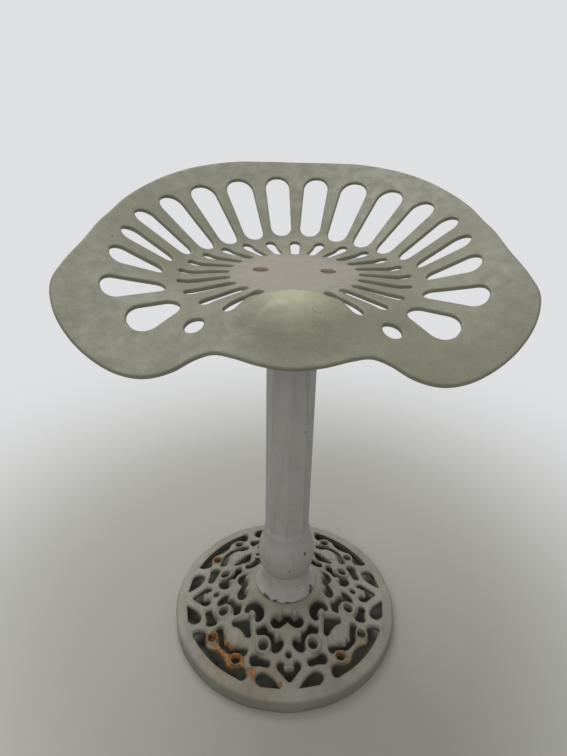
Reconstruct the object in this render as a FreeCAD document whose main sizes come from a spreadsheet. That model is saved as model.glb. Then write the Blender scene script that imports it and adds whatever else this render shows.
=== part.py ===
"""Tractor seat stool: a cast iron implement seat on an octagonal column and a pierced bell foot.

Millimetres. +Z is up, +Y is the back of the seat and +X its right side. The origin is on the
floor, on the column's axis. The order is: sizes, sketch helpers, foot, column, flange, seat,
fasteners, checks and files.
"""
import FreeCAD
import Part
import Sketcher
import math
import os

from FreeCAD import Vector

doc = FreeCAD.newDocument("tractor_seat_stool")

# Driving dimensions

SIZES = {
    # Foot: a bell shaped casting, pierced right through
    "foot_radius": 152.0,
    "foot_turn": 4.0,
    "rim_height": 22.5,
    "rim_round": 5.5,
    "rim_wall": 8.0,
    "rim_band": 15.0,
    "foot_wall": 6.0,
    "rim_step": 1.0,
    "bell_curve": 1.9,
    "foot_land_radius": 42.0,
    "foot_land_height": 58.0,
    "foot_boss_radius": 26.0,
    "foot_boss_depth": 14.0,
    "spigot_height": 5.0,
    "eye_hole_radius": 4.8,
    "bar_eye_hole_radius": 4.6,
    "round_hole_radius": 2.7,
    # Column: an octagonal shaft with a vase and a bell skirt at its foot
    "column_across_flats": 52.0,
    "column_bore": 30.0,
    "skirt_foot_radius": 41.0,
    "skirt_height": 30.0,
    "skirt_curve": 47.0,
    "skirt_hollow_radius": 29.0,
    "skirt_hollow_depth": 20.0,
    "waist_radius": 27.5,
    "waist_height": 6.0,
    "waist_flare": 1.5,
    "vase_radius": 36.5,
    "vase_lip_radius": 32.0,
    "vase_neck_radius": 29.8,
    "vase_height": 62.0,
    "vase_belly_height": 20.0,
    "vase_flank_height": 14.0,
    "vase_flank_flare": 1.6,
    "vase_lower_curve": 40.0,
    "vase_upper_curve": 47.0,
    "vase_flank_curve": 58.0,
    "stop_height": 8.0,
    "stop_sink": 0.5,
    # Flange that caps the column and carries the seat
    "flange_radius": 54.0,
    "flange_thickness": 8.0,
    "socket_radius": 39.0,
    "socket_depth": 14.0,
    "socket_web": 9.0,
    "socket_chamfer": 3.0,
    "nut_recess_margin": 1.0,
    # Seat
    "seat_height": 498.0,
    "seat_width": 429.0,
    "seat_depth": 382.0,
    "seat_wall": 4.8,
    "hub_radius": 58.0,
    "hub_thickness": 9.0,
    "dish_start": 102.0,
    "dish_blend": 26.0,
    "back_slope": 0.68,
    "back_slope_gain": 0.085,
    "front_drop": 1.07,
    "slot_pitch": 15.0,
    "inner_slot_start": 66.0,
    "inner_slot_end": 115.0,
    "inner_slot_narrow": 8.6,
    "inner_slot_wide": 11.2,
    "thigh_hole_radius": 8.5,
    "thigh_hole_reach": 141.5,
    "thigh_hole_angle": 143.0,
    # Fasteners
    "rod_diameter": 16.0,
    "rod_nut_flats": 24.0,
    "rod_nut_height": 13.0,
    "rod_washer_radius": 15.0,
    "rod_washer_thickness": 3.0,
    "rod_tail": 6.0,
    "rod_chamfer": 1.5,
    "rod_sink": 0.6,
    "bolt_spacing": 70.0,
    "bolt_line_back": 9.0,
    "bolt_diameter": 8.0,
    "bolt_head_diameter": 14.5,
    "bolt_head_sink": 1.0,
    "bolt_slot_width": 1.6,
    "bolt_slot_depth": 1.8,
    "bolt_nut_flats": 13.0,
    "bolt_nut_height": 6.5,
    "bolt_washer_radius": 8.0,
    "bolt_washer_thickness": 1.6,
    "bolt_tail": 4.0,
    # Clearances
    "hole_clearance": 0.4,
    "thread_clearance": 0.15,
    "fit_clearance": 0.3,
}

sheet = doc.addObject("Spreadsheet::Sheet", "sizes")
for row, (alias, number) in enumerate(SIZES.items(), start=1):
    sheet.set("A%d" % row, alias)
    sheet.set("B%d" % row, str(number))
    sheet.setAlias("B%d" % row, alias)
doc.recompute()


class Size:
    """A dimension that carries its value and the sheet expression that it comes from."""

    def __init__(self, value, text):
        self.value = value
        self.text = text

    def join(self, other, mark, value):
        text = other.text if isinstance(other, Size) else repr(float(other))
        return Size(value, "(%s %s %s)" % (self.text, mark, text))

    def __add__(self, other):
        return self.join(other, "+", self.value + float(other))

    def __sub__(self, other):
        return self.join(other, "-", self.value - float(other))

    def __mul__(self, other):
        return self.join(other, "*", self.value * float(other))

    def __truediv__(self, other):
        return self.join(other, "/", self.value / float(other))

    def __pow__(self, other):
        return self.join(other, "^", self.value ** float(other))

    def __float__(self):
        return self.value


def size(alias):
    """The named cell of the sheet, as a Size."""
    return Size(float(sheet.get(alias)), "sizes." + alias)


def number(alias):
    """The named cell of the sheet, as a plain number."""
    return float(sheet.get(alias))


ZERO = size("foot_radius") * 0.0

# Sketch and feature helpers


def origin_plane(body, role):
    for feature in body.Origin.OriginFeatures:
        if feature.Role == role:
            return feature
    raise RuntimeError("no origin plane " + role)


def new_body(label):
    body = doc.addObject("PartDesign::Body", label)
    body.Label = label
    return body


def new_sketch(body, name, role="XZ_Plane", height=None):
    sketch = body.newObject("Sketcher::SketchObject", name)
    sketch.AttachmentSupport = [(origin_plane(body, role), "")]
    sketch.MapMode = "FlatFace"
    if height is not None:
        sketch.setExpression("AttachmentOffset.Base.z", height.text)
    return sketch


def pin_point(sketch, index, end, x, y):
    """Fixes one end of a sketch edge at two sizes from the sketch's origin."""
    for kind, value in (("DistanceX", x), ("DistanceY", y)):
        if abs(value.value) < 1e-9:
            axis = -2 if kind == "DistanceX" else -1
            sketch.addConstraint(Sketcher.Constraint("PointOnObject", index, end, axis))
            continue
        name = "%s_%d_%d" % (kind.lower(), index, end)
        place = sketch.addConstraint(Sketcher.Constraint(kind, -1, 1, index, end, value.value))
        sketch.renameConstraint(place, name)
        sketch.setExpression("Constraints." + name, value.text)


def arc_edge(start, finish, radius, left):
    """A circular edge between two points; left is the side of the travel that its centre lies on."""
    chord = finish - start
    half = chord.Length / 2
    rise = math.sqrt(max(radius * radius - half * half, 0.0))
    side = Vector(-chord.y, chord.x, 0).normalize() * (rise if left else -rise)
    centre = (start + finish) * 0.5 + side
    first = math.atan2(start.y - centre.y, start.x - centre.x)
    last = math.atan2(finish.y - centre.y, finish.x - centre.x)
    if not left:
        first, last = last, first
    circle = Part.Circle(centre, Vector(0, 0, 1), radius)
    return Part.ArcOfCircle(circle, first, last)


def closed_profile(sketch, corners):
    """Draws a closed outline. A corner is (x, y) or (x, y, radius, left) for an arc that leaves it."""
    points = [Vector(float(corner[0]), float(corner[1]), 0) for corner in corners]
    ends = []
    for i, corner in enumerate(corners):
        start = points[i]
        finish = points[(i + 1) % len(points)]
        if len(corner) == 2:
            sketch.addGeometry(Part.LineSegment(start, finish), False)
            ends.append((1, 2))
        else:
            sketch.addGeometry(arc_edge(start, finish, float(corner[2]), corner[3]), False)
            ends.append((1, 2) if corner[3] else (2, 1))
    for i, corner in enumerate(corners):
        after = (i + 1) % len(corners)
        joint = Sketcher.Constraint("Coincident", i, ends[i][1], after, ends[after][0])
        sketch.addConstraint(joint)
    for i, corner in enumerate(corners):
        pin_point(sketch, i, ends[i][0], corner[0], corner[1])
        if len(corner) == 4:
            name = "radius_%d" % i
            place = sketch.addConstraint(Sketcher.Constraint("Radius", i, float(corner[2])))
            sketch.renameConstraint(place, name)
            sketch.setExpression("Constraints." + name, corner[2].text)


def revolve(body, name, corners, cut=False):
    """Turns a closed profile of radius and height about the body's Z axis."""
    sketch = new_sketch(body, name + "_profile")
    closed_profile(sketch, corners)
    kind = "PartDesign::Groove" if cut else "PartDesign::Revolution"
    feature = body.newObject(kind, name)
    feature.Profile = sketch
    feature.ReferenceAxis = (sketch, ["V_Axis"])
    feature.Angle = 360.0
    sketch.Visibility = False
    doc.recompute()
    return feature


def polygon_sketch(body, name, sides, across_flats, height):
    """A regular polygon about the origin, with a corner at the front."""
    sketch = new_sketch(body, name, "XY_Plane", height)
    corner_radius = across_flats / (2 * math.cos(math.pi / sides))
    corners = []
    for i in range(sides):
        angle = 2 * math.pi * i / sides
        x = corner_radius * math.sin(angle)
        y = corner_radius * -math.cos(angle)
        corners.append((x, y))
    closed_profile(sketch, corners)
    return sketch


def circle_sketch(body, name, height, circles):
    """Circles, each (x, y, radius), on a level plane."""
    sketch = new_sketch(body, name, "XY_Plane", height)
    for i, (x, y, radius) in enumerate(circles):
        place = Vector(float(x), float(y), 0)
        sketch.addGeometry(Part.Circle(place, Vector(0, 0, 1), float(radius)), False)
        pin_point(sketch, i, 3, x, y)
        label = "hole_radius_%d" % i
        spot = sketch.addConstraint(Sketcher.Constraint("Radius", i, float(radius)))
        sketch.renameConstraint(spot, label)
        sketch.setExpression("Constraints." + label, radius.text)
    return sketch


def pad(body, name, sketch, length):
    feature = body.newObject("PartDesign::Pad", name)
    feature.Profile = sketch
    feature.setExpression("Length", length.text)
    sketch.Visibility = False
    doc.recompute()
    return feature


def pocket(body, name, sketch, depth, upward=False):
    """Cuts a sketch away to a depth, down from its plane unless upward, and checks that it cuts."""
    before = body.Shape.Volume
    feature = body.newObject("PartDesign::Pocket", name)
    feature.Profile = sketch
    feature.Reversed = upward
    feature.setExpression("Length", depth.text)
    sketch.Visibility = False
    doc.recompute()
    if body.Shape.Volume > before - 1e-3:
        raise RuntimeError(name + " cuts nothing")
    return feature


def place(thing, x=None, y=None, z=None):
    for axis, value in (("x", x), ("y", y), ("z", z)):
        if value is not None:
            thing.setExpression("Placement.Base." + axis, value.text)


def cylinder(name, radius, height, x=None, y=None, z=None):
    thing = doc.addObject("Part::Cylinder", name)
    thing.setExpression("Radius", radius.text)
    thing.setExpression("Height", height.text)
    place(thing, x, y, z)
    return thing


def hex_prism(name, across_flats, height, x=None, y=None, z=None):
    thing = doc.addObject("Part::Prism", name)
    thing.Polygon = 6
    corner_radius = across_flats / (2 * math.cos(math.pi / 6))
    thing.setExpression("Circumradius", corner_radius.text)
    thing.setExpression("Height", height.text)
    place(thing, x, y, z)
    return thing


def cut(name, base, tool):
    thing = doc.addObject("Part::Cut", name)
    thing.Base = base
    thing.Tool = tool
    return thing


def group(label, things):
    thing = doc.addObject("Part::Compound", label)
    thing.Label = label
    thing.Links = things
    return thing


def smooth_step(t):
    """Rises from 0 to 1 as t goes from 0 to 1, level at both ends."""
    t = min(max(t, 0.0), 1.0)
    return t * t * (3 - 2 * t)


def closed_spline(points):
    """The smooth closed curve through a loop of points, as a wire."""
    curve = Part.BSplineCurve()
    curve.interpolate([Vector(x, y, 0) for x, y in points], PeriodicFlag=True)
    return Part.Wire([curve.toShape()])


def arc_loop(points):
    """A closed wire of arcs, each through three points of the loop."""
    corners = [Vector(x, y, 0) for x, y in points]
    arcs = []
    for i in range(0, len(corners), 2):
        arc = Part.Arc(corners[i], corners[i + 1], corners[(i + 2) % len(corners)])
        arcs.append(arc.toShape())
    return Part.Wire(arcs)


def prism(wire, bottom, top):
    face = Part.Face(wire)
    face.translate(Vector(0, 0, bottom))
    return face.extrude(Vector(0, 0, top - bottom))


# Foot blank: a bell shell with an upright rim, a level land for the column and a boss below it

foot_radius = size("foot_radius")
rim_inner = foot_radius - size("rim_band")
land_radius = size("foot_land_radius")
land_height = size("foot_land_height")
bell_foot = size("rim_height") + size("rim_step")
BELL_PARTS = 5


def bell_knots(drop):
    """Points of the bell's concave curve from the land out to the rim, lowered by a drop."""
    knots = []
    for i in range(BELL_PARTS + 1):
        share = i / BELL_PARTS
        reach = land_radius + (rim_inner - land_radius) * share
        rise = (ZERO + (1.0 - share)) ** size("bell_curve")
        knots.append((reach, bell_foot + (land_height - bell_foot) * rise - drop))
    return knots


foot_blank = new_body("foot_blank")
foot_wall = size("foot_wall")
rim_height = size("rim_height")
rim_round = size("rim_round")
boss_bottom = land_height - size("foot_boss_depth")
spigot_top = land_height + size("spigot_height")
spigot_radius = size("column_bore") / 2 - size("fit_clearance")
rod_hole_radius = size("rod_diameter") / 2 + size("hole_clearance")
rim_under = rim_height - foot_wall
inner_knots = bell_knots(foot_wall)[:-1]
outer_knots = bell_knots(ZERO)
revolve(foot_blank, "foot_shell", [
    (rod_hole_radius, boss_bottom),
    (size("foot_boss_radius"), boss_bottom),
    (size("foot_boss_radius"), land_height - foot_wall),
    *inner_knots,
    (foot_radius - size("rim_wall"), rim_under),
    (foot_radius - size("rim_wall"), ZERO),
    (foot_radius, ZERO),
    (foot_radius, rim_height - rim_round, rim_round, True),
    (foot_radius - rim_round, rim_height),
    *reversed(outer_knots),
    (spigot_radius, land_height),
    (spigot_radius, spigot_top),
    (rod_hole_radius, spigot_top),
])

# Foot openings: a fourfold scroll pattern. Each outline is drawn once, outward along +Y in a field
# that runs from FIELD_INNER to FIELD_OUTER, and is stretched to the bell between land and rim.

FIELD_INNER = 42.0
FIELD_OUTER = 137.0

# Every second point is where two arcs meet, and the point between them lies on the arc.

# On the four main axes: the butterfly by the collar, and the heart with its drop
BUTTERFLY = [(0, 53.4), (4.2, 54.2), (7, 57), (12, 57.6), (15.8, 54.8), (19.4, 54.8),
             (20.6, 59), (17.6, 63.4), (12, 64.6), (5.5, 62.6), (0, 58.8)]
HEART = [(0, 115.6), (4.8, 115.4), (7.4, 112), (7.6, 107.6), (10.6, 104.4), (13.8, 108.2),
         (11.6, 114.4), (6.6, 120), (0, 126.8)]

# Beside the main axes: the hook round the volute, the slanted gap and the teardrop at the rim
HOOK = [(38.8, 67.6), (36.6, 63), (30, 61.7), (26, 67.6), (20.4, 71.8), (19.2, 76.4),
        (16.8, 80.4), (13.2, 81), (9.8, 79), (6.9, 82), (9, 87.4), (14.4, 91.6), (19.6, 90),
        (20.2, 80.6), (27, 71.8), (33, 69.8)]
SLANT = [(47, 97.4), (44, 94.2), (40.6, 94.8), (34, 98.9), (27.6, 101.1), (24.6, 104.4),
         (27.6, 107.8), (35, 105.9), (44.4, 105.6), (47.6, 101.6)]
TEARDROP = [(40.8, 122.6), (38.6, 117.6), (34, 116.2), (21.6, 123.2), (13.4, 135.6), (25, 134.6),
            (36, 130.8), (39.8, 127)]

# On the four diagonals: crescent, cartouche window, slit under the shell and arch along the rim
CRESCENT = [(0, 50.6), (6, 51.4), (11, 54.8), (13.6, 60), (11.8, 65.4), (8.2, 65.4), (6, 60.8),
            (0, 59.4)]
WINDOW = [(0, 72), (5.6, 75.2), (11, 80.2), (15, 84.2), (12.6, 86.7), (7, 85.2), (0, 84.8)]
SLIT = [(0, 109.6), (3.4, 111.6), (8, 110), (14.6, 104.4), (22, 99.2), (26, 101), (22.6, 105.4),
        (15, 109.8), (8, 114.6), (0, 115.4)]
ARCH = [(0, 123.8), (8, 125), (16, 128.6), (22, 128), (30, 122.4), (36.6, 116.8), (42.6, 118.6),
        (46, 125.6), (41, 130.6), (28, 133.9), (14, 135.9), (0, 136.5)]

VOLUTE_EYE = (31.6, 84.4)
BAR_EYE = (22.3, 115.8)
ROUND_HOLE = (0.0, 96.0)


def whole(half):
    """A closed loop from the points of its right half, which starts and ends on the axis."""
    left = [(-x, y) for x, y in reversed(half[1:-1])]
    return half + left


def flip(points):
    return [(-x, y) for x, y in points]


def bell_place(x, y, turn):
    """Stretches a drawn point to the bell's field and turns it about the axis."""
    share = (math.hypot(x, y) - FIELD_INNER) / (FIELD_OUTER - FIELD_INNER)
    reach = float(land_radius) + share * float(rim_inner - land_radius)
    angle = math.atan2(x, y) + math.radians(turn)
    return reach * math.sin(angle), reach * math.cos(angle)


def opening_tools():
    """The prisms that pierce the bell."""
    bottom = -5.0
    top = float(land_height) + 20.0
    tools = []
    for quarter in range(4):
        main = 90.0 * quarter
        diagonal = main + 45.0
        loops = [(whole(BUTTERFLY), main), (whole(HEART), main)]
        for side in (HOOK, SLANT, TEARDROP):
            loops += [(side, main), (flip(side), main)]
        loops += [(whole(shape), diagonal) for shape in (CRESCENT, WINDOW, SLIT, ARCH)]
        for points, turn in loops:
            placed = [bell_place(x, y, turn) for x, y in points]
            tools.append(prism(arc_loop(placed), bottom, top))
        rounds = [(ROUND_HOLE, main, number("round_hole_radius"))]
        for hand in (1, -1):
            volute = (hand * VOLUTE_EYE[0], VOLUTE_EYE[1])
            bar = (hand * BAR_EYE[0], BAR_EYE[1])
            rounds.append((volute, main, number("eye_hole_radius")))
            rounds.append((bar, diagonal, number("bar_eye_hole_radius")))
        for (x, y), turn, radius in rounds:
            across, out = bell_place(x, y, turn)
            tools.append(Part.makeCylinder(radius, top - bottom, Vector(across, out, bottom)))
    return Part.makeCompound(tools)


foot_openings = doc.addObject("Part::Feature", "foot_openings")
foot_openings.Shape = opening_tools()
foot_casting = cut("foot_casting", foot_blank, foot_openings)
foot_casting.setExpression("Placement.Rotation.Angle", "sizes.foot_turn * 1 deg")

# Column: octagonal shaft, round vase and bell skirt in one casting, bored for the tie rod

column = new_body("column")
flats = size("column_across_flats")
skirt_top = land_height + size("skirt_height")
vase_lip = skirt_top + size("waist_height")
vase_widest = vase_lip + size("vase_belly_height")
vase_neck = vase_lip + size("vase_height")
stop_top = vase_neck + size("stop_height")
seat_height = size("seat_height")
hub_bottom = seat_height - size("hub_thickness")
flange_bottom = hub_bottom - size("flange_thickness")
column_top = flange_bottom - size("socket_web")
shaft = polygon_sketch(column, "shaft_outline", 8, flats, vase_neck)
pad(column, "shaft", shaft, column_top - vase_neck)

skirt_radius = size("skirt_foot_radius")
bore_radius = size("column_bore") / 2
waist = size("waist_radius")
neck_radius = size("vase_neck_radius")
revolve(column, "vase_and_skirt", [
    (bore_radius, land_height),
    (skirt_radius, land_height, size("skirt_curve"), True),
    (waist + size("waist_flare"), skirt_top),
    (waist, skirt_top + size("waist_height") / 2),
    (size("vase_lip_radius"), vase_lip, size("vase_lower_curve"), True),
    (size("vase_radius"), vase_widest, size("vase_upper_curve"), True),
    (neck_radius + size("vase_flank_flare"), vase_neck - size("vase_flank_height"),
     size("vase_flank_curve"), False),
    (neck_radius, vase_neck),
    (flats / 2 - size("stop_sink"), stop_top),
    (bore_radius, stop_top),
])
bore = circle_sketch(column, "bore_outline", column_top, [(ZERO, ZERO, bore_radius)])
pocket(column, "bore", bore, column_top - land_height)
hollow_radius = size("skirt_hollow_radius")
hollow = circle_sketch(column, "hollow_outline", land_height, [(ZERO, ZERO, hollow_radius)])
pocket(column, "skirt_hollow", hollow, size("skirt_hollow_depth"), upward=True)

# Flange: a round plate with a socket that fits over the column's top

flange = new_body("top_flange")
socket_bottom = column_top - size("socket_depth")
nut_margin = size("nut_recess_margin")
nut_recess = size("rod_nut_flats") / (2 * math.cos(math.pi / 6)) + nut_margin
nut_floor = hub_bottom - size("rod_nut_height") - nut_margin
flange_radius = size("flange_radius")
socket_radius = size("socket_radius")
socket_chamfer = size("socket_chamfer")
revolve(flange, "plate_and_socket", [
    (rod_hole_radius, socket_bottom),
    (socket_radius, socket_bottom),
    (socket_radius, flange_bottom - socket_chamfer),
    (socket_radius + socket_chamfer, flange_bottom),
    (flange_radius, flange_bottom),
    (flange_radius, hub_bottom),
    (nut_recess, hub_bottom),
    (nut_recess, nut_floor),
    (rod_hole_radius, nut_floor),
])
socket = polygon_sketch(flange, "socket_outline", 8, flats + size("fit_clearance") * 2, socket_bottom)
pocket(flange, "socket", socket, column_top - socket_bottom, upward=True)

half_spacing = size("bolt_spacing") / 2
bolt_back = size("bolt_line_back")
bolt_hole_radius = size("bolt_diameter") / 2 + size("hole_clearance")
bolt_places = [(ZERO - half_spacing, bolt_back), (half_spacing, bolt_back)]
bolt_holes = circle_sketch(
    flange, "bolt_hole_outline", hub_bottom,
    [(x, y, bolt_hole_radius) for x, y in bolt_places],
)
pocket(flange, "bolt_holes", bolt_holes, hub_bottom - socket_bottom)
nut_seats = circle_sketch(
    flange, "nut_seat_outline", socket_bottom,
    [(x, y, size("bolt_washer_radius") + size("fit_clearance")) for x, y in bolt_places],
)
pocket(flange, "nut_seats", nut_seats, flange_bottom - socket_bottom, upward=True)

# Seat: a dished pan. Its plan, its dish and its slots are drawn for a seat of the drawn width and
# depth, and the plan is stretched to the sheet's.

DRAWN_WIDTH = 429.0
DRAWN_DEPTH = 382.0
SEAT_HALF_PLAN = [(0, 216.5), (38, 214.5), (80, 205.5), (122, 184), (152, 156), (176, 118),
                  (190, 76), (196, 24), (202, -26), (211, -63), (214.5, -86), (206.5, -109),
                  (190, -129), (167, -146.5), (139.5, -160.5), (116, -165.5), (96, -161.5),
                  (80.5, -151.5), (66, -146.5), (49, -150), (28, -155.5), (0, -158.5)]

# The plan's grid of heights reaches past the rim on every side.
GRID_STEP = 16.0
GRID_SIDE = 226.0
GRID_BACK = 228.0
GRID_FRONT = -182.0

# The pan sags a little beyond the hub. Its front drops between two angles from the back.
HUB_MARGIN = 4.0
PAN_SAG = 2.0
SAG_RUN = 50.0
DROP_START = 81.0
DROP_SPAN = 67.0

# The pommel at the front: a crest that rises and fades along -Y, and a nose that falls away
CREST_HEIGHT = 10.0
CREST_WIDTH = 45.0
CREST_START = 60.0
CREST_RISE = 30.0
CREST_END = 100.0
CREST_FADE = 55.0
NOSE_FALL = 0.22
NOSE_WIDTH = 62.0
NOSE_START = 105.0

# Inner slots: this many a side beside the one at the back, closer to the hub towards the front
INNER_A_SIDE = 10
INNER_DRAW_IN = 6.0
INNER_REACH_OUT = 3.0

# Outer slots of one side, from the back to the front: inner end, outer end, and half widths there
OUTER_SLOTS = [(124.5, 196, 12.2, 14.6), (121.3, 196, 12, 16.2), (119.8, 195.5, 11.6, 15.6),
               (119.8, 192.5, 10.8, 14.4), (123.5, 187.5, 9, 12.8), (127.3, 179, 8, 12.5),
               (130.5, 180, 7.8, 12.3), (131.5, 189.5, 8.2, 13), (131.4, 179.5, 11.2, 16.2)]
CORNER_SHARE = 0.64

stretch_x = number("seat_width") / DRAWN_WIDTH
stretch_y = number("seat_depth") / DRAWN_DEPTH
hub_flat = number("hub_radius") + HUB_MARGIN


def rim_slope(angle):
    """How steeply the pan climbs outward at an angle from the back, in radians."""
    turned = (math.degrees(abs(angle)) - DROP_START) / DROP_SPAN
    level = number("back_slope") + number("back_slope_gain") * math.cos(2 * angle)
    return level - number("front_drop") * smooth_step(turned)


def pan_height(x, y):
    """Height of the pan's upper face over the hub, at a point of the plan."""
    reach = math.hypot(x, y)
    angle = math.atan2(x, y)
    run = reach - number("dish_start")
    blend = number("dish_blend")
    climb = 0.0 if run < 0 else (run * run / (2 * blend) if run < blend else run - blend / 2)
    sag = -PAN_SAG * smooth_step((reach - hub_flat) / SAG_RUN)
    ridge = math.exp(-(x / CREST_WIDTH) ** 2)
    crest = CREST_HEIGHT * ridge * smooth_step((-y - CREST_START) / CREST_RISE)
    crest *= 1 - smooth_step((-y - CREST_END) / CREST_FADE)
    nose = -NOSE_FALL * math.exp(-(x / NOSE_WIDTH) ** 2) * max(-y - NOSE_START, 0.0)
    return rim_slope(angle) * climb + sag + crest + nose


def wall_drop(x, y):
    """Upright thickness of the pan, which is more than the wall's own where the pan is steep."""
    step = 1.0
    along_x = (pan_height(x + step, y) - pan_height(x - step, y)) / (2 * step)
    along_y = (pan_height(x, y + step) - pan_height(x, y - step)) / (2 * step)
    return number("seat_wall") * math.sqrt(1 + along_x ** 2 + along_y ** 2)


def plan_place(x, y):
    return x * stretch_x, y * stretch_y


def height_surface(height):
    """A smooth surface through a grid of heights that covers the plan."""
    reach_x = GRID_SIDE * stretch_x
    back = GRID_BACK * stretch_y
    front = GRID_FRONT * stretch_y
    columns = int(2 * reach_x / GRID_STEP) + 1
    rows = int((back - front) / GRID_STEP) + 1
    grid = []
    for i in range(columns):
        x = -reach_x + 2 * reach_x * i / (columns - 1)
        line = []
        for j in range(rows):
            y = front + (back - front) * j / (rows - 1)
            line.append(Vector(x, y, height(x, y)))
        grid.append(line)
    surface = Part.BSplineSurface()
    surface.interpolate(grid)
    return surface.toShape()


def pan_blank():
    """The pan without its slots: the plan's prism between the upper and the lower face."""
    tall = 150.0
    upper = height_surface(pan_height)
    lower = height_surface(lambda x, y: pan_height(x, y) - wall_drop(x, y))
    under_upper = upper.extrude(Vector(0, 0, -tall))
    over_lower = lower.extrude(Vector(0, 0, tall))
    half = [plan_place(x, y) for x, y in SEAT_HALF_PLAN]
    block = prism(closed_spline(whole(half)), -tall, tall)
    pan = block.common(under_upper).common(over_lower)
    hub = Part.makeCylinder(number("hub_radius"), number("hub_thickness"))
    hub.translate(Vector(0, 0, -number("hub_thickness")))
    pan = pan.fuse(hub).removeSplitter()
    pan.translate(Vector(0, 0, number("seat_height")))
    return pan


def slot_wire(angle, start, end, inner, outer, corner_share=1.0):
    """A tapered slot along an angle from the back, in degrees, with a half width at either end.

    A corner share of one gives round ends, and less gives blunt ends with rounded corners.
    """
    small = inner * corner_share
    large = outer * corner_share
    near = (start + small, inner - small)
    far = (end - large, outer - large)
    span = math.dist(near, far)
    lean = math.atan2(far[1] - near[1], far[0] - near[0]) + math.acos((small - large) / span)
    turn = math.radians(angle)
    out = Vector(math.sin(turn), math.cos(turn), 0)
    side = Vector(math.cos(turn), -math.sin(turn), 0)

    def on_corner(centre, radius, swing, hand):
        along = centre[0] + radius * math.cos(swing)
        across = (centre[1] + radius * math.sin(swing)) * hand
        spot = out * along + side * across
        return Vector(*plan_place(spot.x, spot.y), 0)

    def corner(centre, radius, first, last, hand):
        middle = (first + last) / 2
        spots = [on_corner(centre, radius, swing, hand) for swing in (first, middle, last)]
        return Part.Arc(*spots).toShape()

    arcs = [corner(far, large, 0, lean, 1), corner(near, small, lean, math.pi, 1),
            corner(near, small, math.pi, lean, -1), corner(far, large, lean, 0, -1)]
    edges = []
    for i, arc in enumerate(arcs):
        finish = arc.Vertexes[-1].Point
        onward = arcs[(i + 1) % len(arcs)].Vertexes[0].Point
        edges.append(arc)
        if finish.distanceToPoint(onward) > 1e-6:
            edges.append(Part.LineSegment(finish, onward).toShape())
    return Part.Wire(edges)


def inner_slots():
    """The slots round the hub, one to a pitch, with a gap at the front."""
    wires = []
    narrow = number("inner_slot_narrow") / 2
    wide = number("inner_slot_wide") / 2
    for i in range(-INNER_A_SIDE, INNER_A_SIDE + 1):
        angle = number("slot_pitch") * i
        drawn_in = INNER_DRAW_IN * smooth_step((abs(angle) - 110.0) / 45.0)
        reach_out = INNER_REACH_OUT * smooth_step((abs(angle) - 50.0) / 50.0)
        start = number("inner_slot_start") - drawn_in
        end = number("inner_slot_end") + reach_out
        wires.append(slot_wire(angle, start, end, narrow, wide))
    return wires


def outer_slots():
    """The drawn slots on both sides, half a pitch on from the inner ones."""
    wires = []
    for i, (start, end, inner, outer) in enumerate(OUTER_SLOTS):
        angle = number("slot_pitch") * (i + 0.5)
        wires.append(slot_wire(angle, start, end, inner, outer, CORNER_SHARE))
        wires.append(slot_wire(-angle, start, end, inner, outer, CORNER_SHARE))
    return wires


def pan_holes():
    """Prisms and tapered pins for every slot and hole of the pan."""
    low = number("seat_height") - 80.0
    high = number("seat_height") + 140.0
    tools = [prism(wire, low, high) for wire in inner_slots() + outer_slots()]
    reach = number("thigh_hole_reach")
    for hand in (1, -1):
        turn = math.radians(number("thigh_hole_angle")) * hand
        x, y = plan_place(reach * math.sin(turn), reach * math.cos(turn))
        radius = number("thigh_hole_radius")
        tools.append(Part.makeCylinder(radius, high - low, Vector(x, y, low)))
    for x, y in bolt_places:
        tools.append(bolt_opening(float(x), float(y), low))
    return tools


def bolt_opening(x, y, low):
    """A bolt hole whose countersink lets the head lie a little under the hub's upper face."""
    top = number("seat_height")
    throat = top - number("bolt_head_sink")
    wide = number("bolt_head_diameter") / 2 + number("hole_clearance")
    small = float(bolt_hole_radius)
    outline = [Vector(x, y, low), Vector(x + small, y, low), Vector(x + small, y, throat - wide + small),
               Vector(x + wide, y, throat), Vector(x + wide, y, top + 1.0), Vector(x, y, top + 1.0)]
    face = Part.Face(Part.makePolygon(outline + outline[:1]))
    return face.revolve(Vector(x, y, 0), Vector(0, 0, 1), 360)


pan = doc.addObject("Part::Feature", "pan_blank")
pan.Shape = pan_blank()
pan_tools = doc.addObject("Part::Feature", "pan_tools")
pan_tools.Shape = Part.makeCompound(pan_holes())
seat_pan = cut("seat_pan", pan, pan_tools)
seat_pan.Refine = False

# Tie rod: it draws the foot, the column and the flange together between two nuts

rod_radius = size("rod_diameter") / 2
washer_bottom = boss_bottom - size("rod_washer_thickness")
lower_nut_bottom = washer_bottom - size("rod_nut_height")
rod_bottom = lower_nut_bottom - size("rod_tail")
rod_chamfer = size("rod_chamfer")
rod_top = hub_bottom - size("rod_sink")
tie_rod = new_body("tie_rod")
revolve(tie_rod, "rod", [
    (ZERO, rod_bottom),
    (rod_radius - rod_chamfer, rod_bottom),
    (rod_radius, rod_bottom + rod_chamfer),
    (rod_radius, rod_top - rod_chamfer),
    (rod_radius - rod_chamfer, rod_top),
    (ZERO, rod_top),
])


def nut(name, across_flats, height, rod, x, y, z):
    """A hexagon nut over a rod of the given radius."""
    block = hex_prism(name + "_block", across_flats, height, x, y, z)
    thread = cylinder(name + "_thread", rod + size("thread_clearance"), height, x, y, z)
    return cut(name, block, thread)


def washer(name, radius, hole, thickness, x, y, z):
    disc = cylinder(name + "_disc", radius, thickness, x, y, z)
    middle = cylinder(name + "_middle", hole, thickness, x, y, z)
    return cut(name, disc, middle)


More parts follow.
